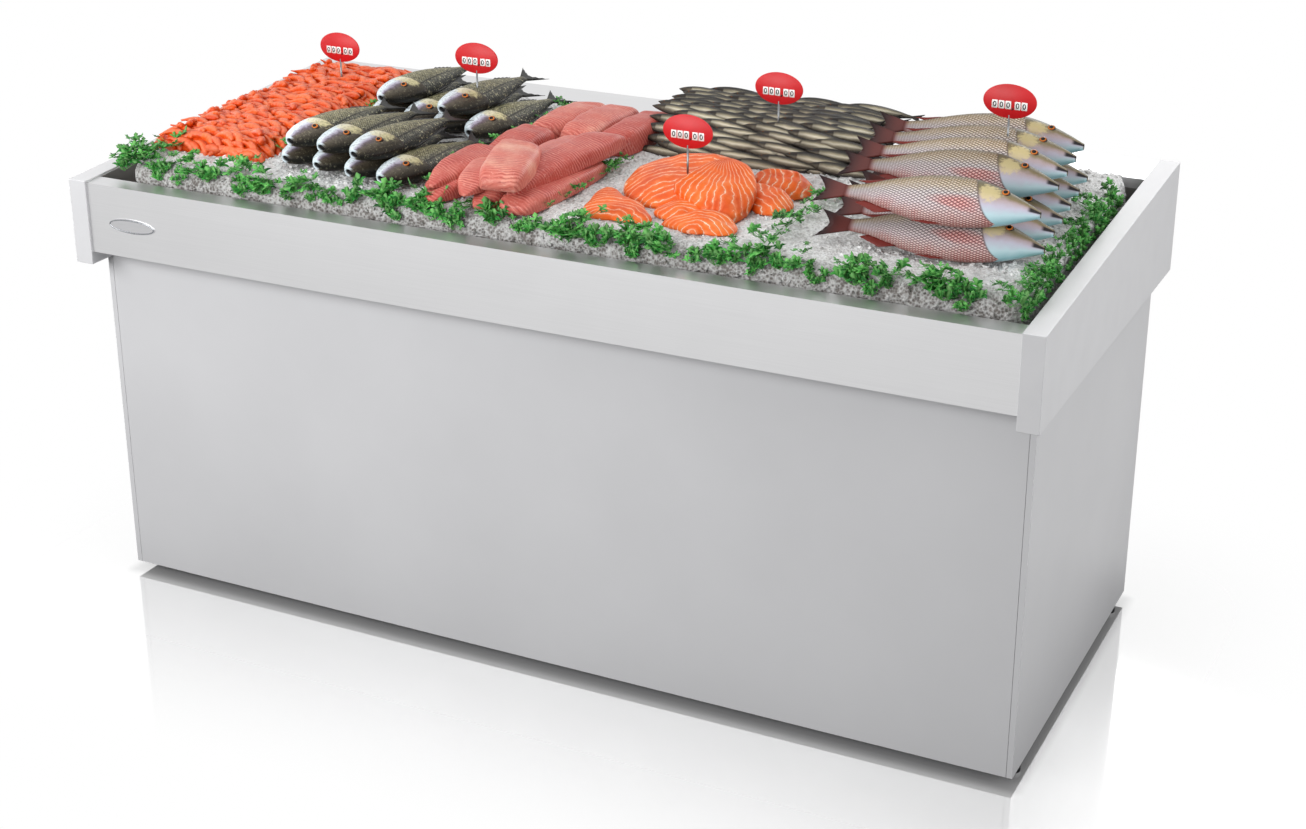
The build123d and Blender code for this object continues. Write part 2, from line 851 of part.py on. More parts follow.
# Fixed hinge leaves, on the rear panel
with BuildPart() as door_hinges:
    for middle in hinge_middles:
        with BuildSketch(Plane.XZ.offset(-base_rear)):
            with Locations((hinge_axis_x + hinge_leaf / 2, middle)):
                Rectangle(hinge_leaf, knuckle)
            with Locations((hinge_axis_x + leaf_reach / 2 + hinge_leaf / 2, middle)):
                Rectangle(hinge_leaf - leaf_reach, hinge_height)
        extrude(amount=-hinge_leaf_thick)
        with BuildSketch(Plane.XY.offset(middle)):
            with Locations((hinge_axis_x, hinge_axis_y)):
                Circle(hinge_barrel)
        extrude(amount=knuckle / 2, both=True)
        with BuildSketch(Plane.XZ.offset(-base_rear)):
            with Locations((hinge_axis_x - hinge_barrel, middle)):
                Rectangle(2 * hinge_barrel, hinge_height)
        extrude(amount=-hinge_stand, mode=Mode.SUBTRACT)
        with BuildSketch(Plane.XY.offset(middle)):
            with Locations((hinge_axis_x, hinge_axis_y)):
                Circle(hinge_pin + running_gap)
        extrude(amount=hinge_height, both=True, mode=Mode.SUBTRACT)
save(door_hinges, "door_hinges")

# Hinge pins
with BuildPart() as hinge_pins:
    for middle in hinge_middles:
        with BuildSketch(Plane.XY.offset(middle - hinge_height / 2)):
            with Locations((hinge_axis_x, hinge_axis_y)):
                Circle(hinge_pin)
        extrude(amount=hinge_height + seat_gap)
        with BuildSketch(Plane.XY.offset(middle + hinge_height / 2 + seat_gap)):
            with Locations((hinge_axis_x, hinge_axis_y)):
                Circle(hinge_barrel)
        extrude(amount=hinge_leaf_thick)
save(hinge_pins, "hinge_pins")

# Quarter-turn latch, its cam upright when the door is free
cam_y = base_rear - door_flange - seat_gap - latch_cam_thick
with BuildPart() as door_latch:
    with BuildSketch(Plane.XZ.offset(-base_rear - seat_gap)):
        with Locations(latch_place):
            Circle(latch_knob)
    extrude(amount=-latch_knob_height)
    with BuildSketch(Plane.XZ.offset(-base_rear - seat_gap - latch_knob_height)):
        with Locations(latch_place):
            Rectangle(latch_knob / 4, latch_knob)
    extrude(amount=latch_knob_height / 4, mode=Mode.SUBTRACT)
    with BuildSketch(Plane.XZ.offset(-base_rear - seat_gap)):
        with Locations(latch_place):
            Circle(latch_shaft)
    extrude(amount=base_rear + seat_gap - cam_y)
    with BuildSketch(Plane.XZ.offset(-cam_y)):
        with Locations((latch_place[0], latch_place[1] + latch_cam_length / 2)):
            SlotCenterToCenter(latch_cam_length, latch_cam_width, rotation=90)
    extrude(amount=-latch_cam_thick)
save(door_latch, "door_latch")

# Panel screws
with BuildPart() as panel_screws:
    with BuildSketch(Plane.XZ.offset(-base_rear)):
        with Locations(*screw_places):
            Circle(screw_radius)
    extrude(amount=screw_length)
    with BuildSketch(Plane.XZ.offset(-base_rear)):
        with Locations(*screw_places):
            Circle(screw_head)
    extrude(amount=-screw_head_height, taper=20)
save(panel_screws, "panel_screws")

# Temperature controller: housing, display window and three buttons
button_places = [
    (controller_x + button_first + (number - 0.5) * button_pitch, control_height) for number in range(3)
]
display_place = (controller_x + display_shift, control_height)
controller_face = base_rear + controller_frame
with BuildPart() as controller_housing:
    with BuildSketch(Plane.XZ.offset(-base_rear)):
        with Locations((controller_x, control_height)):
            RectangleRounded(controller_width, controller_tall, controller_frame / 2)
    extrude(amount=-controller_frame)
    chamfer(controller_housing.faces().sort_by(Axis.Y)[-1].edges(), controller_frame / 4)
    with BuildSketch(Plane.XZ.offset(-base_rear)):
        with Locations((controller_x, control_height)):
            Rectangle(controller_cutout_width - 2 * cutout_gap, controller_cutout_tall - 2 * cutout_gap)
    extrude(amount=controller_body_depth)
    with BuildSketch(Plane.XZ.offset(-controller_face)):
        with Locations(display_place):
            Rectangle(display_width + 2 * cutout_gap, display_tall + 2 * cutout_gap)
    extrude(amount=display_thick, mode=Mode.SUBTRACT)
    with BuildSketch(Plane.XZ.offset(-controller_face)):
        with Locations(*button_places):
            Rectangle(button_size + 2 * button_pocket_gap, button_size + 2 * button_pocket_gap)
    extrude(amount=button_pocket_depth, mode=Mode.SUBTRACT)
save(controller_housing, "controller_housing")

with BuildPart() as controller_display:
    with BuildSketch(Plane.XZ.offset(-controller_face)):
        with Locations(display_place):
            Rectangle(display_width, display_tall)
    extrude(amount=display_thick)
save(controller_display, "controller_display")

for button_name, button_place in zip(("set_button", "up_button", "down_button"), button_places):
    with BuildPart() as button:
        with BuildSketch(Plane.XZ.offset(-controller_face - button_stand)):
            with Locations(button_place):
                RectangleRounded(button_size, button_size, button_size / 5)
        extrude(amount=button_thick)
        chamfer(button.faces().sort_by(Axis.Y)[-1].edges(), button_stand / 4)
    save(button, button_name)

# Main switch: frame and rocker, which rests tilted to off
rocker_axis = (switch_x, base_rear, control_height)
with BuildPart() as switch_frame:
    with BuildSketch(Plane.XZ.offset(-base_rear)):
        with Locations((switch_x, control_height)):
            RectangleRounded(switch_width, switch_tall, switch_frame_thick / 2)
    extrude(amount=-switch_frame_thick)
    with BuildSketch(Plane.XZ.offset(-base_rear)):
        with Locations((switch_x, control_height)):
            Rectangle(switch_body_width, switch_body_tall)
    extrude(amount=switch_body_depth)
    with BuildSketch(Plane.XZ.offset(-base_rear - switch_frame_thick)):
        with Locations((switch_x, control_height)):
            Rectangle(switch_pocket_width, switch_pocket_tall)
    extrude(amount=switch_pocket_depth, mode=Mode.SUBTRACT)
    with BuildSketch(Plane.YZ.offset(switch_x)):
        with Locations((rocker_axis[1], control_height)):
            Circle(rocker_pin + running_gap)
    extrude(amount=switch_pocket_width / 2 + rocker_pin_bite + seat_gap, both=True, mode=Mode.SUBTRACT)
save(switch_frame, "switch_frame")

rocker_turn = radians(rocker_tilt)
rocker_plane = Plane(
    origin=rocker_axis, x_dir=(0, cos(rocker_turn), sin(rocker_turn)), z_dir=(1, 0, 0)
)
rocker_edge = 2 * switch_frame_thick
with BuildPart() as main_rocker:
    with BuildSketch(rocker_plane):
        with BuildLine():
            Polyline(
                (rocker_edge, -rocker_half),
                (rocker_edge / 2, 0),
                (rocker_edge, rocker_half),
                (0, rocker_half),
                (-rocker_edge / 2, rocker_half / 2),
                (-rocker_edge / 2, -rocker_half / 2),
                (0, -rocker_half),
                close=True,
            )
        make_face()
    extrude(amount=rocker_width / 2, both=True)
    with BuildSketch(rocker_plane):
        Circle(rocker_pin)
    extrude(amount=switch_pocket_width / 2 + rocker_pin_bite, both=True)
save(main_rocker, "main_rocker")

# Cable gland
with BuildPart() as cable_gland:
    with BuildSketch(Plane.XZ.offset(-base_rear)):
        with Locations((gland_x, gland_height)):
            RegularPolygon(gland_flange, 6)
    extrude(amount=-gland_outside / 2)
    with BuildSketch(Plane.XZ.offset(-base_rear)):
        with Locations((gland_x, gland_height)):
            Circle(gland_thread)
    extrude(amount=gland_inside)
    with BuildSketch(Plane.XZ.offset(-base_rear)):
        with Locations((gland_x, gland_height)):
            Circle(gland_thread)
    extrude(amount=-gland_outside)
    with BuildSketch(Plane.XZ.offset(gland_inside - base_rear)):
        with Locations((gland_x, gland_height)):
            Circle(gland_bore)
    extrude(amount=-(gland_inside + gland_outside), mode=Mode.SUBTRACT)
save(cable_gland, "cable_gland")

# Electrical box on the inside of the rear panel
with BuildPart() as electrical_box:
    with BuildSketch(Plane.XZ.offset(sheet - base_rear)):
        with Locations((electrical_x, electrical_bottom + electrical_tall / 2)):
            RectangleRounded(electrical_width, electrical_tall, sheet * 4)
    extrude(amount=electrical_depth)
    offset(amount=-sheet, openings=electrical_box.faces().sort_by(Axis.Y)[-1])
save(electrical_box, "electrical_box")

# Condensing unit's tray
with BuildPart() as unit_tray:
    with BuildSketch(Plane.XZ.offset(-unit_y)):
        with Locations((unit_x, pan_top + unit_height / 2)):
            Rectangle(unit_width, unit_height)
        with Locations((unit_x, pan_top + unit_height / 2 - unit_sheet)):
            Rectangle(unit_width - 2 * unit_sheet, unit_height, mode=Mode.SUBTRACT)
    extrude(amount=unit_depth / 2, both=True)
save(unit_tray, "unit_tray")

# Compressor on its four rubber grommets
compressor_place = (compressor_x, compressor_y)
with BuildPart() as compressor_grommets:
    with BuildSketch(Plane.XY.offset(unit_top)):
        with Locations(compressor_place):
            with GridLocations(grommet_spread_x, grommet_spread_y, 2, 2):
                Circle(grommet_radius)
    extrude(amount=grommet_height)
save(compressor_grommets, "compressor_grommets")

plate_bottom = unit_top + grommet_height
can_bottom = plate_bottom + compressor_plate_thick
can_top = can_bottom + compressor_height
stub_top = can_top + stub_rise
suction_place = (compressor_x - stub_spread, compressor_y)
discharge_place = (compressor_x + stub_spread, compressor_y)
with BuildPart() as compressor:
    with BuildSketch(Plane.XY.offset(plate_bottom)):
        with Locations(compressor_place):
            RectangleRounded(compressor_plate_width, compressor_plate_depth, grommet_radius)
    extrude(amount=compressor_plate_thick)
    with BuildSketch(Plane.XY.offset(can_bottom)):
        with Locations(compressor_place):
            Circle(compressor_radius)
    extrude(amount=compressor_height)
    fillet(compressor.edges().group_by(Axis.Z)[-1], compressor_radius / 2)
    with BuildSketch(Plane.XY.offset(can_bottom + compressor_height / 2)):
        with Locations(suction_place, discharge_place):
            Circle(stub_radius)
    extrude(amount=stub_top - can_bottom - compressor_height / 2)
save(compressor, "compressor")

# Condenser, its fins as slots in both faces
condenser_front = condenser_back - condenser_depth
condenser_middle = unit_top + condenser_height / 2
fin_pitch = (condenser_width - 2 * fin_margin) / fin_count
with BuildPart() as condenser:
    with BuildSketch(Plane.XZ.offset(-condenser_back)):
        with Locations((unit_x, condenser_middle)):
            Rectangle(condenser_width, condenser_height)
    extrude(amount=condenser_depth)
    for face_at, inward in ((condenser_back, 1), (condenser_front, -1)):
        with BuildSketch(Plane.XZ.offset(-face_at)):
            with Locations((unit_x, condenser_middle)):
                with GridLocations(fin_pitch, 0, fin_count, 1):
                    Rectangle(fin_slot, condenser_height - 2 * fin_margin)
        extrude(amount=inward * fin_slot_depth, mode=Mode.SUBTRACT)
save(condenser, "condenser")

# Fan shroud on the condenser's inner face
shroud_front = condenser_front - shroud_depth
fan_place = (unit_x, unit_top + shroud_size / 2)
with BuildPart() as fan_shroud:
    with BuildSketch(Plane.XZ.offset(-condenser_front)):
        with Locations(fan_place):
            Rectangle(shroud_size, shroud_size)
            Rectangle(shroud_size - 2 * shroud_wall, shroud_size - 2 * shroud_wall, mode=Mode.SUBTRACT)
    extrude(amount=shroud_depth)
    with BuildSketch(Plane.XZ.offset(-shroud_front)):
        with Locations(fan_place):
            Rectangle(shroud_size, shroud_size)
    extrude(amount=-shroud_wall)
    with BuildSketch(Plane.XZ.offset(-shroud_front)):
        with Locations(fan_place):
            Circle(shroud_bore + shroud_wall)
    extrude(amount=-(shroud_depth - fan_from_condenser))
    with BuildSketch(Plane.XZ.offset(-shroud_front)):
        with Locations(fan_place):
            Circle(shroud_bore)
    extrude(amount=-shroud_depth, mode=Mode.SUBTRACT)
save(fan_shroud, "fan_shroud")

# Fan motor on its post, with the shaft that carries the rotor
rotor_back = condenser_front - fan_from_condenser
rotor_front = rotor_back - fan_depth
motor_back = rotor_front - motor_gap
motor_front = motor_back - motor_length
with BuildPart() as fan_motor:
    with BuildSketch(Plane.XZ.offset(-motor_back)):
        with Locations(fan_place):
            Circle(motor_radius)
    extrude(amount=motor_length)
    fillet(fan_motor.edges().filter_by(GeomType.CIRCLE), motor_radius / 8)
    with BuildSketch(Plane.XZ.offset(-motor_back)):
        with Locations(fan_place):
            Circle(motor_shaft)
    extrude(amount=-(rotor_back - motor_back))
    with BuildSketch(Plane.XY.offset(unit_top)):
        with Locations((unit_x, (motor_front + motor_back) / 2)):
            Rectangle(motor_post_width, motor_post_thick)
    extrude(amount=fan_place[1] - unit_top - motor_radius / 2)
save(fan_motor, "fan_motor")

# Fan rotor
blade_reach = fan_tip - fan_hub / 2
with BuildPart() as fan_rotor:
    with BuildSketch(Plane.XZ.offset(-rotor_back)):
        with Locations(fan_place):
            Circle(fan_hub)
    extrude(amount=fan_depth)
    rotor_plane = Plane(
        origin=(fan_place[0], rotor_back - fan_depth / 2, fan_place[1]), x_dir=(1, 0, 0), z_dir=(0, -1, 0)
    )
    with Locations(rotor_plane):
        with PolarLocations(fan_hub / 2 + blade_reach / 2, fan_blades):
            Box(blade_reach, fan_blade_chord, fan_blade_thick, rotation=(fan_blade_pitch, 0, 0))
    with BuildSketch(Plane.XZ.offset(-rotor_back)):
        with Locations(fan_place):
            Circle(motor_shaft + running_gap)
    extrude(amount=fan_depth, mode=Mode.SUBTRACT)
save(fan_rotor, "fan_rotor")

# Filter drier
drier_place = (pipe_rise_x, drier_y)
drier_top = drier_bottom + drier_length
with BuildPart() as filter_drier:
    with BuildSketch(Plane.XY.offset(drier_bottom)):
        with Locations(drier_place):
            Circle(drier_radius)
    extrude(amount=drier_length)
    chamfer(filter_drier.edges().filter_by(GeomType.CIRCLE), drier_radius / 2)
save(filter_drier, "filter_drier")

# Copper pipes: discharge, liquid in two lengths, suction
condenser_side = unit_x + condenser_width / 2
pipe_y = (condenser_front + condenser_back) / 2
discharge_route = [
    (*discharge_place, stub_top),
    (*discharge_place, pipe_level_high),
    (condenser_side + pipe_side_reach, compressor_y, pipe_level_high),
    (condenser_side + pipe_side_reach, pipe_y, pipe_level_high),
    (condenser_side, pipe_y, pipe_level_high),
]
liquid_route = [
    (condenser_side, pipe_y, pipe_level_low),
    (pipe_rise_x, pipe_y, pipe_level_low),
    (pipe_rise_x, drier_y, pipe_level_low),
    (pipe_rise_x, drier_y, drier_bottom),
]
feed_route = [
    (pipe_rise_x, drier_y, drier_top),
    (pipe_rise_x, drier_y, liquid_level),
    (pipe_rise_x, coil_front, liquid_level),
    (pipe_rise_x, coil_front, coil_tail_end),
]
suction_route = [
    (pipe_rise_x, coil_rear, coil_tail_end),
    (pipe_rise_x, coil_rear, suction_level),
    (suction_place[0], coil_rear, suction_level),
    (suction_place[0], compressor_y, suction_level),
    (*suction_place, stub_top),
]
with BuildPart() as refrigerant_pipes:
    for route in (discharge_route, liquid_route, feed_route, suction_route):
        with BuildLine() as pipe_path:
            FilletPolyline(*route, radius=pipe_bend)
        with BuildSketch(Plane(origin=pipe_path.line @ 0, z_dir=pipe_path.line % 0)):
            Circle(pipe_radius)
        sweep()
save(refrigerant_pipes, "refrigerant_pipes")

# Bed of crushed ice, with rounded shoulders
ice_front = well_front + ice_front_gap
ice_rear = well_rear - ice_rear_gap
ice_left = -inner_x + ice_left_gap
ice_right = inner_x - ice_right_gap
ice_bottom = deck_top + seat_gap
ice_depth = ice_rear - ice_front
with BuildPart() as ice_bed:
    with BuildSketch(Plane.YZ.offset(ice_left)):
        with BuildLine():
            Polyline(
                (ice_front, ice_bottom),
                (ice_rear, ice_bottom),
                (ice_rear, ice_front_top + ice_rise),
                (ice_front, ice_front_top),
                close=True,
            )
        make_face()
    extrude(amount=ice_right - ice_left)
    fillet(ice_bed.edges().filter_by(lambda edge: edge.center().Z > ice_bottom + sheet), ice_shoulder)
save(ice_bed, "ice_bed")

# Goods lie on the ice's sloping top: u runs along the counter, v up the slope from the ice's front edge
ice_top = Plane(
    origin=(0, ice_front, ice_front_top), x_dir=(1, 0, 0), z_dir=(0, -ice_rise, ice_depth)
)
goods_front = ice_shoulder
goods_rear = ice_depth - ice_shoulder / 2


def on_ice(u, v, w, turn=0):
    return ice_top.location * Location((u, v, w), (0, 0, turn))


def stacked(half_across, half_up, step, shares=2):
    # Rise of one layer of ovals, whose neighbours below stand a step apart
    # The shares are the sizes of both ovals, added up
    return shares * half_up * sqrt(1 - (step / 2 / (shares * half_across)) ** 2) + seat_gap


def leaning_pile(half_deep, half_thick, lean):
    # Ovals in a row that lean back and touch, with a second layer of them in the hollows:
    # the row's step, the upper layer's shift and rise, and half an oval's height and width
    turn = radians(lean)
    deep_share = cos(turn) / (2 * half_deep)
    thick_share = sin(turn) / (2 * half_thick)
    step = 1 / sqrt(deep_share**2 + thick_share**2)
    rise_deep = (deep_share / 2 + thick_share * sqrt(3) / 2) * step * 2 * half_deep
    rise_thick = (deep_share * sqrt(3) / 2 - thick_share / 2) * step * 2 * half_thick
    shift = rise_deep * cos(turn) - rise_thick * sin(turn)
    rise = rise_deep * sin(turn) + rise_thick * cos(turn)
    half_up = sqrt((half_deep * sin(turn)) ** 2 + (half_thick * cos(turn)) ** 2)
    half_across = sqrt((half_deep * cos(turn)) ** 2 + (half_thick * sin(turn)) ** 2)
    return step + seat_gap, shift, rise + seat_gap, half_up, half_across


def in_pile(pile, along, across, up):
    # A fish's place in a pile, which starts at u and v and runs from noses to tails at a turn
    start_u, start_v, turn = pile
    run = radians(turn)
    return (
        start_u + along * cos(run) - across * sin(run),
        start_v + along * sin(run) + across * cos(run),
        up,
        turn,
    )


def along_fish(place, along, rise):
    # A spot over a fish's axis
    u, v, w, turn = place
    return (u + along * cos(radians(turn)), v + along * sin(radians(turn)), w + rise)


def fish_form(fish_length, half_wide, half_tall, roll, shape):
    # A fish along +X, nose at the origin, as ruled spans between oval sections
    with BuildPart() as form:
        for along, wide, tall in shape:
            with BuildSketch(Plane.YZ.offset(along * fish_length)):
                Ellipse(half_wide * wide, half_tall * tall, rotation=roll)
        loft(ruled=True)
    return form.part


# Shares of a fish's length, width and height at its sections, from the nose to the tail's edge
round_fish = (
    (0.00, 0.22, 0.22),
    (0.06, 0.55, 0.55),
    (0.20, 0.92, 0.92),
    (0.34, 1.00, 1.00),
    (0.52, 0.86, 0.86),
    (0.72, 0.50, 0.48),
    (0.86, 0.26, 0.18),
    (1.00, 0.72, 0.06),
)
deep_fish = (
    (0.00, 0.20, 0.12),
    (0.08, 0.62, 0.46),
    (0.22, 0.95, 0.88),
    (0.36, 1.00, 1.00),
    (0.56, 0.82, 0.84),
    (0.74, 0.46, 0.46),
    (0.85, 0.22, 0.22),
    (1.00, 0.07, 0.66),
)
slim_fish = (
    (0.00, 0.15, 0.12),
    (0.20, 0.88, 0.84),
    (0.40, 1.00, 1.00),
    (0.70, 0.62, 0.60),
    (0.90, 0.16, 0.20),
    (1.00, 0.06, 0.60),
)
loin_bar = (
    (0.00, 0.45, 0.40),
    (0.08, 0.86, 0.84),
    (0.30, 1.00, 1.00),
    (0.70, 1.00, 1.00),
    (0.92, 0.86, 0.82),
    (1.00, 0.50, 0.44),
)


def share_at(shape, share_along, column):
    # Width or height of a fish at a share of its length, as a share of its greatest
    for before, after in zip(shape, shape[1:]):
        if before[0] <= share_along <= after[0]:
            passed = (share_along - before[0]) / (after[0] - before[0])
            return before[column] + (after[column] - before[column]) * passed
    return 0


def height_share(shape, share_along):
    return share_at(shape, share_along, 2)


def meeting_shares(shape, shift):
    # Widest pair of sections that meet where a fish lies shifted along an equal one, by a share of its length
    places = [along + part for along, _, _ in shape for part in (0, shift)]
    return max(share_at(shape, place, 1) + share_at(shape, place - shift, 1) for place in places)


# Snappers, two layers leaning back on each other, noses to the right
snapper_step, snapper_shift, snapper_rise, snapper_half_up, snapper_half_across = leaning_pile(
    snapper_half_deep, snapper_half_thick, snapper_roll
)
snapper_first = goods_front + snapper_front_margin + snapper_half_across
snapper_room = goods_rear - snapper_half_across - snapper_first
snapper_rows = min(snapper_rows_most, int(snapper_room // snapper_step) + 1)
snapper_nose = ice_right - snapper_nose_margin
snapper_low = snapper_half_up + seat_gap
snapper_pile = (snapper_nose, snapper_first, 180 + snapper_yaw)
snapper_places = []
for row in range(snapper_rows):
    row_back = row * snapper_step
    snapper_places.append(in_pile(snapper_pile, 0, -row_back, snapper_low))
    if row != snapper_empty_seat:
        upper_back = row_back + snapper_shift - snapper_step
        snapper_places.append(
            in_pile(snapper_pile, snapper_upper_shift, -upper_back, snapper_low + snapper_rise)
        )
snapper_form = fish_form(
    snapper_length, snapper_half_thick, snapper_half_deep, 90 - snapper_roll, deep_fish
)
snapper_left = snapper_nose - snapper_upper_shift - snapper_length

# Sardines, in columns end to end and layers that step back, heads to the left
sardine_step = 2 * sardine_half_wide + seat_gap
sardine_pair = meeting_shares(slim_fish, sardine_layer_shift)
sardine_rise = stacked(sardine_half_wide, sardine_half_tall, sardine_step, sardine_pair)
sardine_column = sardine_length + seat_gap
sardine_right = snapper_left - sardine_gap
sardine_left = sardine_right - sardine_columns * sardine_column
sardine_rows = int((goods_rear - sardine_front) // sardine_step)
sardine_places = [
    (
        sardine_left + (column + layer * sardine_layer_shift) * sardine_column,
        sardine_front + sardine_half_wide + (row + layer / 2) * sardine_step,
        sardine_half_tall + seat_gap + layer * sardine_rise,
        0,
    )
    for layer in range(sardine_layers)
    for column in range(sardine_columns - (layer + 1) // 2)
    for row in range(sardine_rows - layer)
]
sardine_form = fish_form(sardine_length, sardine_half_wide, sardine_half_tall, 0, slim_fish)

# Loins, in columns, with three more in the hollows on top
loin_step = 2 * loin_half_wide + seat_gap
loin_rise = stacked(loin_half_wide, loin_half_tall, loin_step)
loin_right = sardine_left - goods_gap
loin_left = loin_right - loin_columns * loin_step
loin_row_step = loin_length + goods_row_gap
loin_rows = int((goods_rear - goods_front + goods_row_gap) // loin_row_step)
loin_places = [
    (loin_left + (column + 0.5) * loin_step, goods_front + row * loin_row_step, loin_half_tall + seat_gap)
    for row in range(loin_rows)
    for column in range(loin_columns)
]
for column, start in ((1, 0.05), (2, 0.1), (1, 1.15)):
    if start + 1 <= loin_rows:
        loin_places.append(
            (
                loin_left + column * loin_step,
                goods_front + start * loin_row_step,
                loin_half_tall + seat_gap + loin_rise,
            )
        )
loin_form = fish_form(loin_length, loin_half_wide, loin_half_tall, 0, loin_bar)

# Sea bass, in rows across that lean on each other, heads to the front, with more in the hollows on top
bass_step, bass_shift, bass_rise, bass_half_up, bass_half_across = leaning_pile(
    bass_half_deep, bass_half_thick, bass_roll
)
bass_right = loin_left - bass_gap
bass_room = bass_right - ice_left - ice_shoulder - 2 * prawn_gap
bass_columns = max(1, min(bass_columns_most, int(bass_room // bass_step)))
bass_left = bass_right - bass_columns * bass_step
bass_row_step = bass_length + goods_row_gap
bass_rows = int((goods_rear - goods_front + goods_row_gap) // bass_row_step)
bass_low = bass_half_up + seat_gap
bass_places = []
for row in range(bass_rows):
    bass_pile = (bass_right - bass_half_across, goods_front + row * bass_row_step, 90 - bass_yaw)
    for column in range(bass_columns):
        bass_places.append(in_pile(bass_pile, 0, column * bass_step, bass_low))
    seats = range(bass_columns - 1)
    if row:
        seats = [seat for seat in bass_rear_seats if seat in seats] or seats
    for column in seats:
        upper_across = column * bass_step + bass_shift
        bass_places.append(in_pile(bass_pile, 0, upper_across, bass_low + bass_rise))
bass_form = fish_form(bass_length, bass_half_deep, bass_half_thick, bass_roll, round_fish)

# Salmon fillets, in a bed in front of the sardines, with two larger ones on top
salmon_pitch_u = 2 * salmon_half_long + seat_gap
salmon_pitch_v = 2 * salmon_half_wide + seat_gap
salmon_u = (sardine_left + sardine_right) / 2
salmon_front_v = goods_front + salmon_front_margin + salmon_half_wide
salmon_middle_v = salmon_front_v + (salmon_rows - 1) / 2 * salmon_pitch_v
top_salmon_level = salmon_thick + 2 * seat_gap
top_salmon_places = [
    (salmon_u + top_salmon_shift - top_salmon_half_long - seat_gap, salmon_middle_v),
    (salmon_u + top_salmon_shift + top_salmon_half_long + seat_gap, salmon_middle_v),
]


def fillet_form(half_long, half_wide, thick):
    with BuildPart() as form:
        for share, level in ((1.0, 0.0), (0.94, 0.5), (0.6, 1.0)):
            with BuildSketch(Plane.XY.offset(level * thick)):
                Ellipse(half_long * share, half_wide * share)
        loft(ruled=True)
    return form.part


salmon_form = fillet_form(salmon_half_long, salmon_half_wide, salmon_thick)
top_salmon_form = fillet_form(top_salmon_half_long, top_salmon_half_wide, top_salmon_thick)


# Price tags stand in the prawns, a sea bass, a salmon fillet, a sardine and a snapper
prawn_right = bass_left - prawn_gap
prawn_left = ice_left + goods_gap / 2
prawn_front_v = prawn_front_margin
prawn_rear_v = ice_depth - prawn_rear_margin
prawn_middle = ((prawn_left + prawn_right) / 2, prawn_front_v + (prawn_rear_v - prawn_front_v) * 0.8)
tag_bass = bass_places[-len(seats)]
tag_sardine = sardine_places[sardine_layers - sardine_rows]
tag_snapper = snapper_places[-3]
tag_salmon = top_salmon_places[0]
tag_feet = {
    "prawn_tag": (*prawn_middle, prawn_bed_thick),
    "bass_tag": along_fish(
        tag_bass, tag_bass_along * bass_length, height_share(round_fish, tag_bass_along) * bass_half_up
    ),
    "salmon_tag": (
        tag_salmon[0] + tag_salmon_along,
        tag_salmon[1] + tag_salmon_back,
        top_salmon_level + top_salmon_thick,
    ),
    "sardine_tag": along_fish(
        tag_sardine,
        tag_sardine_along * sardine_length,
        height_share(slim_fish, tag_sardine_along) * sardine_half_tall,
    ),
    "snapper_tag": along_fish(
        tag_snapper,
        tag_snapper_along * snapper_length,
        height_share(deep_fish, tag_snapper_along) * snapper_half_up,
    ),
}
tag_points = {name: ice_top.from_local_coords(foot) for name, foot in tag_feet.items()}


def tag_bore(name):
    point = tag_points[name]
    bore = tag_depth + tag_bore_spare + tag_bore_top
    with Locations((point.X, point.Y, point.Z + tag_bore_top - bore / 2)):
        Cylinder(tag_stake + seat_gap, bore, mode=Mode.SUBTRACT)


with BuildPart() as snappers:
    with Locations(*[on_ice(*place) for place in snapper_places]):
        add(snapper_form)
    tag_bore("snapper_tag")
save(snappers, "snappers")

with BuildPart() as sardines:
    with Locations(*[on_ice(*place) for place in sardine_places]):
        add(sardine_form)
    tag_bore("sardine_tag")
save(sardines, "sardines")

with BuildPart() as loins:
    with Locations(*[on_ice(*place, 90) for place in loin_places]):
        add(loin_form)
save(loins, "loins")

with BuildPart() as sea_bass:
    with Locations(*[on_ice(*place) for place in bass_places]):
        add(bass_form)
    tag_bore("bass_tag")
save(sea_bass, "sea_bass")

with BuildPart() as salmon_fillets:
    with Locations(on_ice(salmon_u, salmon_middle_v, seat_gap)):
        with GridLocations(salmon_pitch_u, salmon_pitch_v, salmon_columns, salmon_rows):
            add(salmon_form)
    with Locations(*[on_ice(u, v, top_salmon_level) for u, v in top_salmon_places]):
        add(top_salmon_form)
    tag_bore("salmon_tag")
save(salmon_fillets, "salmon_fillets")

# Bed of prawns
with BuildPart() as prawn_bed:
    bed_middle = on_ice((prawn_left + prawn_right) / 2, (prawn_front_v + prawn_rear_v) / 2, seat_gap)
    for share in (0, 1):
        with BuildSketch(Plane(bed_middle).offset(share * prawn_bed_thick)):
            RectangleRounded(
                prawn_right - prawn_left - 2 * share * prawn_bed_flare,
                prawn_rear_v - prawn_front_v - 2 * share * prawn_bed_flare,
                prawn_bed_corner,
            )
    loft(ruled=True)
    tag_bore("prawn_tag")
save(prawn_bed, "prawn_bed")

# Price tags, each an oval plate on a thin stake
for tag_name, point in tag_points.items():
    with BuildPart() as tag:
        with BuildSketch(Plane.XZ.offset(-point.Y)):
            with Locations((point.X, point.Z + tag_centre)):
                Ellipse(tag_width / 2, tag_tall / 2)
        extrude(amount=tag_thick / 2, both=True)
        with BuildSketch(Plane.XY.offset(point.Z - tag_depth)):
            with Locations((point.X, point.Y)):
                Circle(tag_stake)
        extrude(amount=tag_depth + tag_centre - tag_tall / 2 + tag_stake_overlap)
    save(tag, tag_name)
    print(tag_name, [round(value, 1) for value in (point.X, point.Y, point.Z)])

print("hinge axis", hinge_axis_x, hinge_axis_y, "latch", latch_place, "fan", fan_place)
print("lever axis", valve_centre, "rocker axis", rocker_axis, "feet", foot_places)
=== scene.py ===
import json
import math
import random

import bmesh
import bpy
import numpy as np
from mathutils import Euler, Matrix, Vector, noise


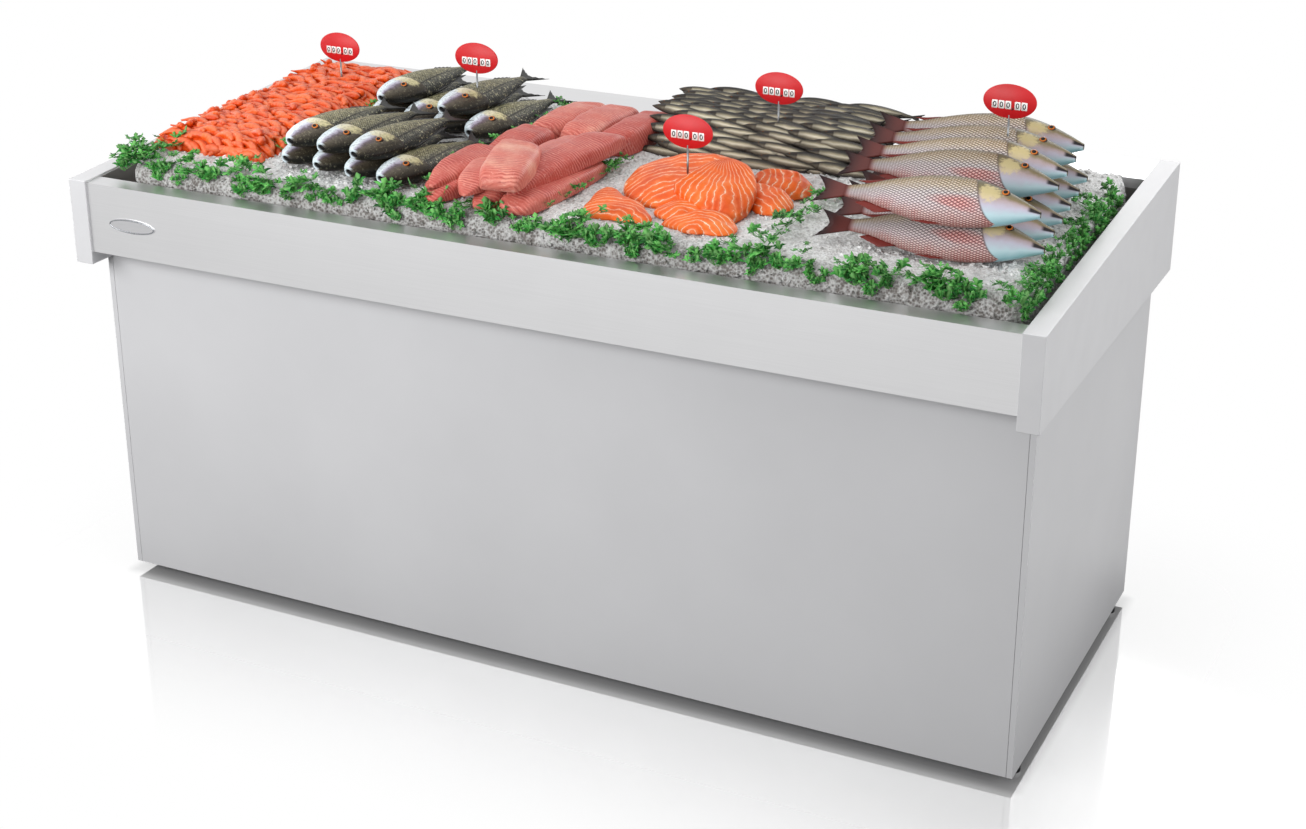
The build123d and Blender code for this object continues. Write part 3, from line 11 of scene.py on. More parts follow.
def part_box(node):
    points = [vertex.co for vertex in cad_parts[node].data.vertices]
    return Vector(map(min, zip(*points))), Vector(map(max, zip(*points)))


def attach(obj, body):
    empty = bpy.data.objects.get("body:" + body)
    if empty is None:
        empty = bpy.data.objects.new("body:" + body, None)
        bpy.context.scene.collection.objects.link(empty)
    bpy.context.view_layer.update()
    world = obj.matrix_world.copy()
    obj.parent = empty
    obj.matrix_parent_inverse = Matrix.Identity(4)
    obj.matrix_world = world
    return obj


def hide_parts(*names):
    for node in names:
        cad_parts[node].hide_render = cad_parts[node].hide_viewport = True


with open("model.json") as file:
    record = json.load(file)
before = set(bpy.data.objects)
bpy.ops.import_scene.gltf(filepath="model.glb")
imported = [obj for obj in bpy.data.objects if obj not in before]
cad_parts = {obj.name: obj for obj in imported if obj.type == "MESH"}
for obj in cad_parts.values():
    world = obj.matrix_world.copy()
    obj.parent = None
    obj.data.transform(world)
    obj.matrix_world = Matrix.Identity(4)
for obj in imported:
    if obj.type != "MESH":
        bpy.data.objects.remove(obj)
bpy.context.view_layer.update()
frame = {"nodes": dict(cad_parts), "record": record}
nodes = frame["nodes"]
scene = bpy.context.scene
print("frame loaded:", len(nodes), "nodes")


# Node helpers, for materials and for geometry
class Wire:
    def __init__(self, bench, socket):
        self.bench = bench
        self.socket = socket

    def out(self, name):
        return Wire(self.bench, self.socket.node.outputs[name])

    def math(self, operation, first, second=0.0):
        return self.bench.node("ShaderNodeMath", {0: first, 1: second}, {"operation": operation})

    def __add__(self, other):
        return self.math("ADD", self, other)

    def __radd__(self, other):
        return self.math("ADD", other, self)

    def __sub__(self, other):
        return self.math("SUBTRACT", self, other)

    def __rsub__(self, other):
        return self.math("SUBTRACT", other, self)

    def __mul__(self, other):
        return self.math("MULTIPLY", self, other)

    def __rmul__(self, other):
        return self.math("MULTIPLY", other, self)

    def __pow__(self, other):
        return self.math("POWER", self, other)

    def __abs__(self):
        return self.math("ABSOLUTE", self)

    def above(self, other):
        return self.math("GREATER_THAN", self, other)

    def least(self, other):
        return self.math("MINIMUM", self, other)

    def most(self, other):
        return self.math("MAXIMUM", self, other)

    def wave(self):  # 0 at whole numbers, 1 halfway between them
        return 2 * self.math("PINGPONG", self, 0.5)


class Bench:
    def __init__(self, tree):
        self.tree = tree
        tree.nodes.clear()

    def node(self, kind, sockets=None, settings=None, out=0):
        made = self.tree.nodes.new(kind)
        for key, value in (settings or {}).items():
            if key == "stops":
                self.fillRamp(made.color_ramp, value)
            else:
                setattr(made, key, value)
        for key, value in (sockets or {}).items():
            if isinstance(value, Wire):
                self.tree.links.new(value.socket, made.inputs[key])
            else:
                made.inputs[key].default_value = value
        return Wire(self, made.outputs[out]) if len(made.outputs) else None

    def fillRamp(self, colourRamp, stops):
        while len(colourRamp.elements) < len(stops):
            colourRamp.elements.new(1.0)
        for element, (place, colour) in zip(colourRamp.elements, stops):
            element.position = place
            element.color = tint(*colour)

    def ramp(self, value, stops):
        return self.node("ShaderNodeValToRGB", {0: value}, {"stops": stops})

    def mix(self, factor, first, second, way="MIX"):  # a tuple of three is a screen colour
        first, second = (tint(*side) if isinstance(side, tuple) and len(side) == 3 else side
                         for side in (first, second))
        settings = {"data_type": "RGBA", "blend_type": way}
        return self.node("ShaderNodeMix", {0: factor, 6: first, 7: second}, settings, out=2)

    def smooth(self, value, low, high):
        sockets = {"Value": value, "From Min": low, "From Max": high}
        return self.node("ShaderNodeMapRange", sockets, {"interpolation_type": "SMOOTHSTEP"})

    def under(self, value, low, high):  # the falling step: 1 below low, 0 above high
        return 1 - self.smooth(value, low, high)

    def place(self):
        return self.node("ShaderNodeTexCoord", out="Object")

    def stretched(self, scale):
        return self.node("ShaderNodeMapping", {"Vector": self.place(), "Scale": scale})

    def noise(self, scale, detail=3.0, rough=0.55, vector=None):
        sockets = {"Vector": vector or self.place(), "Scale": scale, "Detail": detail, "Roughness": rough}
        return self.node("ShaderNodeTexNoise", sockets)

    def cells(self, scale):
        return self.node("ShaderNodeTexVoronoi", {"Vector": self.place(), "Scale": scale})

    def fields(self, *names):
        return [self.node("ShaderNodeAttribute", None, {"attribute_name": name}, "Fac") for name in names]


def tint(red, green, blue):  # screen colour, 0 to 255, to a linear one
    def linear(value):
        share = value / 255
        return share / 12.92 if share <= 0.04045 else ((share + 0.055) / 1.055) ** 2.4
    return (linear(red), linear(green), linear(blue), 1.0)


fullWhite = (1.0, 1.0, 1.0, 1.0)
socketNames = {"metallic": "Metallic", "specular": "Specular IOR Level", "coat": "Coat Weight", "ior": "IOR"}


def newFinish(name):
    material = bpy.data.materials.new(name)
    material.use_nodes = True
    bench = Bench(material.node_tree)
    bench.material = material
    return bench


def closeFinish(bench, colour, rough, height=None, depth=None, **others):
    sockets = {"Base Color": colour, "Roughness": rough}
    for key, value in others.items():
        sockets[socketNames[key]] = value
    if height is not None:
        sockets["Normal"] = bench.node("ShaderNodeBump", {"Distance": depth, "Height": height})
    shader = bench.node("ShaderNodeBsdfPrincipled", sockets)
    bench.node("ShaderNodeOutputMaterial", {"Surface": shader})
    return bench.material


# Finishes of the counter
def paintedSheet(name, colour, rough=0.42):
    bench = newFinish(name)
    cloud = bench.noise(2.2, 4.0)
    peel = bench.noise(900.0, 2.0)
    shade = bench.ramp(cloud, [(0.3, [c - 4 for c in colour]), (0.7, [c + 3 for c in colour])])
    smear = bench.noise(7.0, 5.0)
    return closeFinish(bench, shade, rough - 0.05 + 0.1 * smear, peel, 0.00006)


def brushedSheet(name, colour, rough, lines=(6.0, 900.0, 900.0)):
    bench = newFinish(name)
    grain = bench.noise(1.0, 3.0, vector=bench.stretched(lines))
    cloud = bench.noise(3.0, 4.0)
    stops = [(0.3, [c - 3 for c in colour]), (0.7, [c + 2 for c in colour])]
    shade = bench.ramp(0.75 * grain + 0.25 * cloud, stops)
    smear = bench.noise(9.0, 4.0)
    rough = rough - 0.03 + 0.04 * smear + 0.03 * grain
    return closeFinish(bench, shade, rough, grain, 0.000012, metallic=1.0)


def mouldedPlastic(name, colour, rough, texture=1400.0, depth=0.00005, sway=8):
    bench = newFinish(name)
    cloud = bench.noise(14.0, 4.0)
    speck = bench.noise(texture, 2.0)
    low, high = [max(c - sway, 0) for c in colour], [min(c + sway, 255) for c in colour]
    shade = bench.ramp(cloud, [(0.3, low), (0.7, high)])
    return closeFinish(bench, shade, rough - 0.06 + 0.12 * speck, speck, depth)


def bareMetal(name, colour, stain, rough, spangle=60.0):
    bench = newFinish(name)
    flakes = bench.cells(spangle).out("Color")
    flake = bench.node("ShaderNodeSeparateColor", {0: flakes})
    age = bench.noise(22.0, 5.0, 0.65)
    shade = bench.mix(bench.smooth(age, 0.52, 0.8), colour, stain)
    shade = bench.mix(0.12 * flake, shade, fullWhite, "OVERLAY")
    return closeFinish(bench, shade, rough - 0.08 + 0.2 * age, age, 0.00005, metallic=1.0)


def foamFinish(name):
    bench = newFinish(name)
    pores = bench.cells(420.0)
    shade = bench.ramp(pores, [(0.0, (196, 176, 112)), (0.5, (232, 214, 156))])
    return closeFinish(bench, shade, 0.9, pores, 0.0008)


def finnedMetal(name):
    bench = newFinish(name)
    spot = bench.node("ShaderNodeSeparateXYZ", {0: bench.place()})
    fins = (spot * 450.0).wave()
    dust = bench.noise(30.0, 4.0)
    # light fin edges with dark gaps between them; the gaps are painted shade
    shade = bench.ramp(fins, [(0.0, (96, 98, 100)), (0.5, (182, 184, 186))])
    shade = bench.mix(0.35 * dust, shade, (150, 140, 126))
    return closeFinish(bench, shade, 0.42, fins, 0.0006, metallic=0.85)


def windowGlass(name):
    bench = newFinish(name)
    dots = bench.cells(900.0)
    shade = bench.ramp(dots, [(0.2, (24, 12, 12)), (0.8, (10, 8, 9))])
    return closeFinish(bench, shade, 0.12, coat=0.6)


slotFinishes = {
    "panel_steel": paintedSheet("panelPaint", (203, 203, 205)),
    "fascia_steel": brushedSheet("fasciaSatin", (216, 216, 217), 0.36),
    "end_panel_plastic": mouldedPlastic("endPanelSatin", (206, 206, 208), 0.4, 700.0, 0.00002, 2),
    "tub_steel": brushedSheet("tubSatin", (158, 156, 153), 0.32),
    "frame_steel": paintedSheet("framePaint", (104, 105, 108), 0.5),
    "plate_metal": brushedSheet("plateSatin", (206, 206, 208), 0.3),
    "foam": foamFinish("closedFoam"),
    "zinc": bareMetal("zincPlate", (196, 198, 202), (160, 162, 166), 0.36),
    "copper": bareMetal("bareCopper", (210, 140, 104), (132, 82, 58), 0.3, 30.0),
    "white_plastic": mouldedPlastic("whiteMoulding", (226, 226, 222), 0.4),
    "black_plastic": mouldedPlastic("blackMoulding", (34, 34, 36), 0.5),
    "red_plastic": mouldedPlastic("redMoulding", (186, 26, 30), 0.32),
    "display_glass": windowGlass("displayWindow"),
    "compressor_paint": paintedSheet("compressorEnamel", (34, 34, 36), 0.34),
    "fin_metal": finnedMetal("coilFins"),
    "rubber_black": mouldedPlastic("grommetRubber", (40, 40, 41), 0.75, 500.0, 0.0001),
    "valve_brass": bareMetal("valveBrass", (206, 168, 92), (140, 110, 58), 0.3, 40.0),
}
for subpart in frame["record"]["subparts"]:
    finish = slotFinishes.get(subpart["material_slot"])
    if finish:
        data = nodes[subpart["node"]].data
        data.materials.clear()
        data.materials.append(finish)
print("counter finished")


# Meshes built from arrays
def link(name, mesh):
    piece = bpy.data.objects.new(name, mesh)
    scene.collection.objects.link(piece)
    return piece


def drop(*pieces):
    for piece in pieces:
        bpy.data.objects.remove(piece)


def setField(mesh, name, values, kind="FLOAT", key="value"):
    layer = mesh.attributes.new(name, kind, "POINT")
    layer.data.foreach_set(key, np.asarray(values, np.float32).ravel())


class Heap:
    def __init__(self, *fields):
        self.count = 0
        self.verts = []
        self.faces = []
        self.fields = {field: [] for field in fields}

    def add(self, verts, faces, **fields):
        verts = np.asarray(verts, float)
        self.verts.append(verts)
        self.faces.extend([tuple(self.count + i for i in face) for face in faces])
        for field, values in fields.items():
            self.fields[field].append(np.broadcast_to(np.asarray(values, float), len(verts)))
        self.count += len(verts)

    def piece(self, name):
        mesh = bpy.data.meshes.new(name)
        mesh.from_pydata(np.concatenate(self.verts).tolist(), [], self.faces)
        for field, values in self.fields.items():
            setField(mesh, field, np.concatenate(values))
        mesh.shade_smooth()
        return link(name, mesh)


def settle(piece, finish, body, replaced=()):
    piece.data.materials.clear()
    piece.data.materials.append(finish)
    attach(piece, body)
    if replaced:
        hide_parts(*replaced)


def asMesh(piece):  # its mesh as the modifiers leave it
    return bpy.data.meshes.new_from_object(piece.evaluated_get(bpy.context.evaluated_depsgraph_get()))


def thicken(piece, thickness):
    solid = piece.modifiers.new("body", "SOLIDIFY")
    solid.thickness = thickness
    solid.offset = -1.0


def ringOf(count):  # angles round a full turn
    return np.linspace(0, 2 * math.pi, count, endpoint=False)


def bowed(values, power):
    return np.sign(values) * np.abs(values) ** power


def tubeFaces(rows, around, capped=False, turned=False):
    faces = []
    for row in range(rows - 1):
        for i in range(around):
            j = (i + 1) % around
            low, high = row * around, (row + 1) * around
            faces.append((low + i, low + j, high + j, high + i))
    if capped:
        last = (rows - 1) * around
        faces.append(tuple(range(around - 1, -1, -1)))
        faces.append(tuple(range(last, last + around)))
    return [face[::-1] for face in faces] if turned else faces


def gridFaces(columns, rows):
    step = columns + 1
    corners = [j * step + i for j in range(rows) for i in range(columns)]
    return [(corner, corner + 1, corner + step + 1, corner + step) for corner in corners]


def facingOut(points, faces):  # turns the faces of a closed piece if they face in
    corners = points - points.mean(0)
    volume = 0.0
    for face in faces:
        fan = corners[list(face)]
        volume += float(np.sum(np.cross(fan[1:-1], fan[2:]) @ fan[0]))
    return faces if volume > 0 else [face[::-1] for face in faces]


def curveThrough(points, where):
    places, values = np.array(points, float).T
    slopes = np.gradient(values, places)
    spot = np.clip(np.searchsorted(places, where) - 1, 0, len(places) - 2)
    span = places[spot + 1] - places[spot]
    t = (where - places[spot]) / span
    return (values[spot] * (2 * t**3 - 3 * t**2 + 1) + slopes[spot] * span * (t**3 - 2 * t**2 + t)
            + values[spot + 1] * (3 * t**2 - 2 * t**3) + slopes[spot + 1] * span * (t**3 - t**2))


# The solids of a node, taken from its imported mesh
weldReach = 1e-5


def welded(node):
    form = bmesh.new()
    form.from_mesh(nodes[node].data)
    bmesh.ops.remove_doubles(form, verts=form.verts, dist=weldReach)
    return form


def pieceFrom(form, name):
    mesh = bpy.data.meshes.new(name)
    form.to_mesh(mesh)
    form.free()
    return link(name, mesh)


def solidsOf(node):  # the corner points of each solid
    form = welded(node)
    form.verts.ensure_lookup_table()
    seen = set()
    solids = []
    for start in form.verts:
        if start.index in seen:
            continue
        seen.add(start.index)
        island, waiting = [], [start]
        while waiting:
            vert = waiting.pop()
            island.append(vert.co.copy())
            for edge in vert.link_edges:
                other = edge.other_vert(vert)
                if other.index not in seen:
                    seen.add(other.index)
                    waiting.append(other)
        solids.append(np.array(island))
    form.free()
    return sorted(solids, key=lambda points: tuple(np.round(points.mean(0), 3)))


# The ice's sloping top carries the goods: u along the counter, v up the slope, w off the ice
iceSlope = {"front": -0.403, "frontTop": 0.935, "rise": 0.022, "depth": 0.733}
slopeAngle = math.atan2(iceSlope["rise"], iceSlope["depth"])
alongAxis = np.array((1.0, 0.0, 0.0))
slopeAxis = np.array((0.0, math.cos(slopeAngle), math.sin(slopeAngle)))
iceNormal = np.array((0.0, -math.sin(slopeAngle), math.cos(slopeAngle)))
iceOrigin = np.array((0.0, iceSlope["front"], iceSlope["frontTop"]))
iceAxes = np.stack([alongAxis, slopeAxis, iceNormal])


def onIce(u, v, w):
    return iceOrigin + u * alongAxis + v * slopeAxis + w * iceNormal


# Geometry Nodes: shapes set on points, or strewn over a surface
treeInputs = [("Shape", "Object"), ("Finish", "Material"), ("Seed", "Int")]
strewnInputs = [(label, "Float") for label in ("Spacing", "Smallest", "Largest", "Tilt", "Swing")]


def openTree(name, inputs):
    tree = bpy.data.node_groups.new(name, "GeometryNodeTree")
    bench = Bench(tree)
    for label, kind in [("Geometry", "Geometry")] + inputs:
        tree.interface.new_socket(label, in_out="INPUT", socket_type="NodeSocket" + kind)
    tree.interface.new_socket("Geometry", in_out="OUTPUT", socket_type="NodeSocketGeometry")
    return tree, bench, bench.node("NodeGroupInput")


def closeTree(bench, entry, points, turned, size):  # sets the shape on the points, each with its own mood
    shape = bench.node("GeometryNodeObjectInfo", {"Object": entry.out("Shape")}, out="Geometry")
    sockets = {"Points": points, "Instance": shape, "Rotation": turned, "Scale": size}
    spread = bench.node("GeometryNodeInstanceOnPoints", sockets)
    mood = bench.node("FunctionNodeRandomValue", {"Seed": entry.out("Seed")}, {"data_type": "FLOAT"}, out=1)
    settings = {"data_type": "FLOAT", "domain": "INSTANCE"}
    sockets = {"Geometry": spread, "Name": "mood", "Value": mood}
    marked = bench.node("GeometryNodeStoreNamedAttribute", sockets, settings)
    whole = bench.node("GeometryNodeRealizeInstances", {0: marked})
    sockets = {"Geometry": whole, "Material": entry.out("Finish")}
    dressed = bench.node("GeometryNodeSetMaterial", sockets)
    bench.node("NodeGroupOutput", {0: dressed})


def setOnPointsTree():
    tree, bench, entry = openTree("setOnPoints", treeInputs)
    turn = bench.node("GeometryNodeInputNamedAttribute", {"Name": "turn"}, {"data_type": "FLOAT_VECTOR"})
    size = bench.node("GeometryNodeInputNamedAttribute", {"Name": "size"}, {"data_type": "FLOAT"})
    closeTree(bench, entry, entry, bench.node("FunctionNodeEulerToRotation", {0: turn}), size)
    return tree


def strewnTree():
    tree, bench, entry = openTree("strewn", treeInputs + strewnInputs)
    tilt, seed = entry.out("Tilt"), entry.out("Seed")
    sockets = {"Mesh": entry, "Distance Min": entry.out("Spacing"), "Density Max": 60000.0, "Seed": seed}
    points = bench.node("GeometryNodeDistributePointsOnFaces", sockets, {"distribute_method": "POISSON"})

    def randomTurn(reach, seed):  # reach: the most it turns either way, by the number of the axis
        low = bench.node("ShaderNodeCombineXYZ", {axis: most * -1.0 for axis, most in reach.items()})
        high = bench.node("ShaderNodeCombineXYZ", reach)
        sockets = {0: low, 1: high, "Seed": seed}
        value = bench.node("FunctionNodeRandomValue", sockets, {"data_type": "FLOAT_VECTOR"})
        return bench.node("FunctionNodeEulerToRotation", {0: value})

    yaw = randomTurn({2: entry.out("Swing")}, seed + 1.0)
    sockets = {"Rotation": yaw, "Vector": points.out("Normal")}
    upright = bench.node("FunctionNodeAlignRotationToVector", sockets, {"axis": "Z"})
    lean = randomTurn({0: tilt, 1: tilt}, seed + 3.0)
    turned = bench.node("FunctionNodeRotateRotation", {0: upright, 1: lean}, {"rotation_space": "LOCAL"})
    sockets = {2: entry.out("Smallest"), 3: entry.out("Largest"), "Seed": seed + 2.0}
    size = bench.node("FunctionNodeRandomValue", sockets, {"data_type": "FLOAT"}, out=1)
    closeTree(bench, entry, points, turned, size)
    return tree


def grow(carrier, tree, name, **values):  # keeps what the tree makes of the carrier as a plain mesh
    modifier = carrier.modifiers.new(tree.name, "NODES")
    modifier.node_group = tree
    for item in tree.interface.items_tree:
        if item.in_out == "INPUT" and item.name in values:
            modifier[item.identifier] = values[item.name]
    mesh = asMesh(carrier)
    carrier.modifiers.remove(modifier)
    mesh.name = name
    return link(name, mesh)


def pointCloud(name, spots, turns, sizes):
    mesh = bpy.data.meshes.new(name)
    mesh.from_pydata([tuple(spot) for spot in spots], [], [])
    setField(mesh, "turn", turns, "FLOAT_VECTOR", "vector")
    setField(mesh, "size", sizes)
    return link(name, mesh)


onPoints = setOnPointsTree()
strewn = strewnTree()


# Crushed ice
# fall: how strongly the painted shade greys the faces turned to the front
crushedIce = {"voxel": 0.0085, "smoothBase": 0.004, "lump": 0.0055, "lumpScale": 30.0, "crumb": 0.0028,
              "crumbScale": 85.0, "swell": 0.0033, "swellScale": 14.0, "sink": 0.003, "fall": 1.15,
              "chipSize": 0.0042, "chipSpacing": 0.017, "chipSmall": 0.6, "chipLarge": 1.7, "chipTilt": 0.6}


def iceFinish():
    bench = newFinish("crushedIceWet")
    lumps = bench.noise(38.0, 5.0, 0.6)
    crumbs = bench.cells(190.0)
    fine = bench.noise(420.0, 3.0)
    mood, fall = bench.fields("mood", "fall")
    stops = [(0.3, (170, 168, 166)), (0.46, (208, 207, 206)), (0.66, (234, 235, 235))]
    deep = bench.ramp(0.55 * lumps + 0.35 * crumbs + 0.2 * mood, stops)
    # painted shade: faces turned to the front go grey, darkest in the hollows between the lumps
    hollowShade = bench.under(0.6 * lumps + 0.4 * crumbs, 0.3, 0.62)
    deep = bench.mix(fall * (0.5 + 0.5 * hollowShade), deep, (106, 101, 97))
    relief = 0.7 * crumbs + 0.5 * fine + 0.6 * lumps
    return closeFinish(bench, deep, 0.34 + 0.2 * fine, relief, 0.004, ior=1.31)


def iceChip():
    shuffle = random.Random(3)
    form = bmesh.new()
    bmesh.ops.create_icosphere(form, subdivisions=1, radius=crushedIce["chipSize"])
    for vert in form.verts:
        vert.co *= shuffle.uniform(0.6, 1.25)
        vert.co.z *= 0.7
    return pieceFrom(form, "iceChip")


def evenIce():  # the ice solid with vertices a voxel apart
    block = pieceFrom(welded("ice_bed"), "iceBlock")
    remesh = block.modifiers.new("even", "REMESH")
    remesh.mode = "VOXEL"
    remesh.voxel_size = crushedIce["voxel"]
    mesh = asMesh(block)
    drop(block)
    return mesh


def buildIce():
    mesh = evenIce()
    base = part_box("ice_bed")[0].z + crushedIce["smoothBase"]
    normals = [vert.normal.copy() for vert in mesh.vertices]
    # Painted shade: greyer where the ice falls away towards the front, on the faces turned to the front
    setField(mesh, "fall", [max(0.0, min(1.0, -crushedIce["fall"] * normal.y)) for normal in normals])
    for vert, normal in zip(mesh.vertices, normals):
        spot = vert.co
        if spot.z < base:
            continue
        lift = crushedIce["lump"] * noise.noise(spot * crushedIce["lumpScale"])
        lift += crushedIce["crumb"] * noise.noise(spot * crushedIce["crumbScale"])
        lift += crushedIce["swell"] * (abs(noise.noise(spot * crushedIce["swellScale"])) - 0.3)
        vert.co = spot + normal * (lift - crushedIce["sink"])
    mesh.shade_smooth()
    bed = link("crushedIce", mesh)
    finish = iceFinish()
    # Chips lie on the open faces, not on the underside or at the back
    upper = bmesh.new()
    upper.from_mesh(mesh)
    hidden = [face for face in upper.faces if face.normal.z < -0.3 or face.normal.y > 0.6]
    bmesh.ops.delete(upper, geom=hidden, context="FACES")
    carrier = pieceFrom(upper, "iceTop")
    chip = iceChip()
    chips = grow(carrier, strewn, "iceChips", Shape=chip, Finish=finish, Seed=11,
                 Spacing=crushedIce["chipSpacing"], Smallest=crushedIce["chipSmall"],
                 Largest=crushedIce["chipLarge"], Tilt=crushedIce["chipTilt"], Swing=math.pi)
    drop(chip, carrier)
    setField(mesh, "mood", np.full(len(mesh.vertices), 0.5))
    settle(bed, finish, "load", ("ice_bed",))
    settle(chips, finish, "load")


buildIce()
print("ice laid")


# Whole fish. Places are shares of the length from the nose, heights are shares of half the depth
# eye: place, height, radius; fins: start and end on the body, then the tips beyond them
# patch on the gill cover: colour, place, height, half its length, half its height
# slit of the mouth: height, length, half its gape
snapperLook = {
    "rings": 48, "around": 28, "tailRoot": 0.86, "gill": 0.27, "gillSlant": 0.06, "cell": 0.0106,
    "eye": (0.16, 0.27, 0.15), "eyeTurn": 0,
    "back": [(0, -0.06), (0.05, 0.16), (0.12, 0.44), (0.2, 0.72), (0.3, 0.95), (0.38, 1.0), (0.52, 0.92),
             (0.66, 0.66), (0.78, 0.36), (0.86, 0.25)],
    "belly": [(0, -0.28), (0.05, -0.42), (0.12, -0.62), (0.22, -0.86), (0.34, -1.0), (0.5, -0.94),
              (0.66, -0.64), (0.78, -0.34), (0.86, -0.24)],
    "width": [(0, 0.22), (0.04, 0.44), (0.12, 0.76), (0.25, 0.98), (0.38, 1.0), (0.55, 0.86), (0.7, 0.56),
              (0.8, 0.28), (0.86, 0.14)],
    "tailSpread": 0.6, "tailFork": 0.05,
    "fins": [((0.3, 0.97), (0.76, 0.42), (0.36, 1.06), (0.82, 0.5)),
             ((0.62, -0.72), (0.76, -0.38), (0.7, -0.84), (0.8, -0.46)),
             ((0.36, -0.99), (0.43, -0.98), (0.46, -1.08), (0.54, -0.99))],
    "bodyStops": [(0.0, (198, 130, 122)), (0.16, (214, 172, 168)), (0.32, (216, 198, 202)),
                  (0.48, (206, 196, 196)), (0.6, (204, 184, 156)), (0.7, (176, 150, 102)),
                  (0.8, (126, 110, 68)), (1.0, (50, 48, 36))],
    "headStops": [(0.0, (152, 198, 208)), (0.2, (188, 214, 222)), (0.36, (192, 188, 204)),
                  (0.48, (180, 162, 164)), (0.58, (136, 122, 92)), (0.74, (94, 88, 62)),
                  (0.9, (54, 52, 42))],
    "patch": ((220, 204, 150), 0.222, 0.16, 0.055, 0.36), "tail": ((96, 46, 42), (34, 14, 17)),
    "fin": (112, 38, 32), "line": (62, 48, 50), "lineShare": 0.95, "glint": 0.6, "blush": 0.42,
    "slit": (-0.1, 0.05, 0.3),
}
bassLook = {
    "rings": 46, "around": 26, "tailRoot": 0.87, "gill": 0.3, "gillSlant": 0.03, "cell": 0.0062,
    "eye": (0.19, 0.2, 0.19), "eyeTurn": 36,
    "back": [(0, 0.2), (0.03, 0.42), (0.1, 0.7), (0.2, 0.9), (0.34, 1.0), (0.55, 0.84), (0.72, 0.48),
             (0.82, 0.27), (0.87, 0.22)],
    "belly": [(0, -0.26), (0.03, -0.48), (0.1, -0.74), (0.2, -0.92), (0.34, -1.0), (0.55, -0.84),
              (0.72, -0.46), (0.82, -0.26), (0.87, -0.21)],
    "width": [(0, 0.42), (0.03, 0.6), (0.1, 0.82), (0.22, 0.98), (0.36, 1.0), (0.55, 0.87), (0.72, 0.5),
              (0.82, 0.26), (0.87, 0.14)],
    "tailSpread": 0.82, "tailFork": 0.075,
    "fins": [((0.32, 0.98), (0.72, 0.5), (0.4, 1.08), (0.78, 0.58)),
             ((0.6, -0.74), (0.74, -0.42), (0.7, -0.9), (0.8, -0.5)),
             ((0.3, -0.97), (0.4, -0.97), (0.46, -1.16), (0.56, -0.98))],
    "bodyStops": [(0.0, (64, 66, 60)), (0.14, (116, 116, 94)), (0.34, (160, 154, 108)),
                  (0.52, (132, 126, 84)), (0.68, (76, 76, 54)), (0.82, (36, 38, 32)),
                  (1.0, (16, 18, 16))],
    # the pale belly side of the head is the fish's own pale chin, made brighter and wider as painted light
    # falling on it
    "headStops": [(0.0, (226, 246, 252)), (0.36, (236, 246, 252)), (0.45, (184, 178, 198)),
                  (0.52, (104, 92, 100)), (0.6, (92, 84, 72)), (0.76, (62, 56, 46)),
                  (0.92, (30, 28, 25))],
    "patch": ((234, 224, 172), 0.258, -0.08, 0.07, 0.5), "tail": ((40, 40, 38), (14, 14, 15)),
    "fin": (26, 26, 25), "line": (22, 22, 18), "lineShare": 0.8, "glint": 0.35,
    "speckle": 0.9, "lateral": 0.9, "lips": 0.9,
}
sardineLook = {
    "rings": 13, "around": 10, "tailRoot": 0.88, "gill": 0.19, "gillSlant": 0.0, "cell": 0.006,
    "eye": (0.085, 0.2, 0.09), "eyeTurn": 0,
    "back": [(0, 0.06), (0.06, 0.4), (0.18, 0.8), (0.4, 1.0), (0.7, 0.62), (0.82, 0.32), (0.88, 0.22)],
    "belly": [(0, -0.1), (0.06, -0.44), (0.18, -0.84), (0.4, -1.0), (0.7, -0.6), (0.82, -0.3), (0.88, -0.2)],
    "width": [(0, 0.1), (0.06, 0.44), (0.18, 0.86), (0.4, 1.0), (0.7, 0.62), (0.82, 0.28), (0.88, 0.14)],
    "tailSpread": 0.9, "tailFork": 0.06, "fins": [], "fade": 0.75,
    # In both ramps the bright band on the flank is partly the fish's own silver and partly painted
    # highlight; the dark belly side is painted shade where the fish lie on one another
    "bodyStops": [(0.0, (46, 40, 36)), (0.2, (86, 76, 66)), (0.34, (150, 140, 118)),
                  (0.46, (238, 230, 206)), (0.54, (186, 176, 146)), (0.63, (100, 94, 80)),
                  (0.74, (46, 44, 42)), (1.0, (20, 20, 21))],
    "headStops": [(0.0, (54, 46, 42)), (0.3, (98, 88, 76)), (0.44, (132, 120, 100)),
                  (0.56, (58, 52, 48)), (1.0, (16, 16, 17))],
    "patch": ((150, 140, 120), 0.15, -0.3, 0.03, 0.2), "tail": ((52, 44, 40), (22, 20, 20)),
    "fin": (60, 52, 46), "line": (40, 36, 34), "lineShare": 0.35, "glint": 0.2,
}
finLook = {"tailRays": 13, "tailSteps": 5, "tailThick": 0.0022, "tailRuffle": 0.0007, "rays": 9, "steps": 3,
           "thick": 0.0013, "ruffle": 0.0006, "sunk": 0.94}
eyeLook = {"around": 14, "rows": [(1.0, -0.3), (0.94, 0.25), (0.74, 0.55), (0.42, 0.74), (0.05, 0.8)],
           "stops": [(0.0, (8, 8, 8)), (0.48, (10, 9, 8)), (0.55, (214, 128, 52)), (0.74, (190, 100, 36)),
                     (0.84, (26, 20, 18)), (1.0, (60, 54, 48))]}
flankPower = 0.9  # below 1 the sides of a fish are fuller than an ellipse
# Values of the along field that stand for something other than the body
alongMarks = {"throat": -0.1, "lips": -0.05, "fin": 2.0, "eye": 3.0}


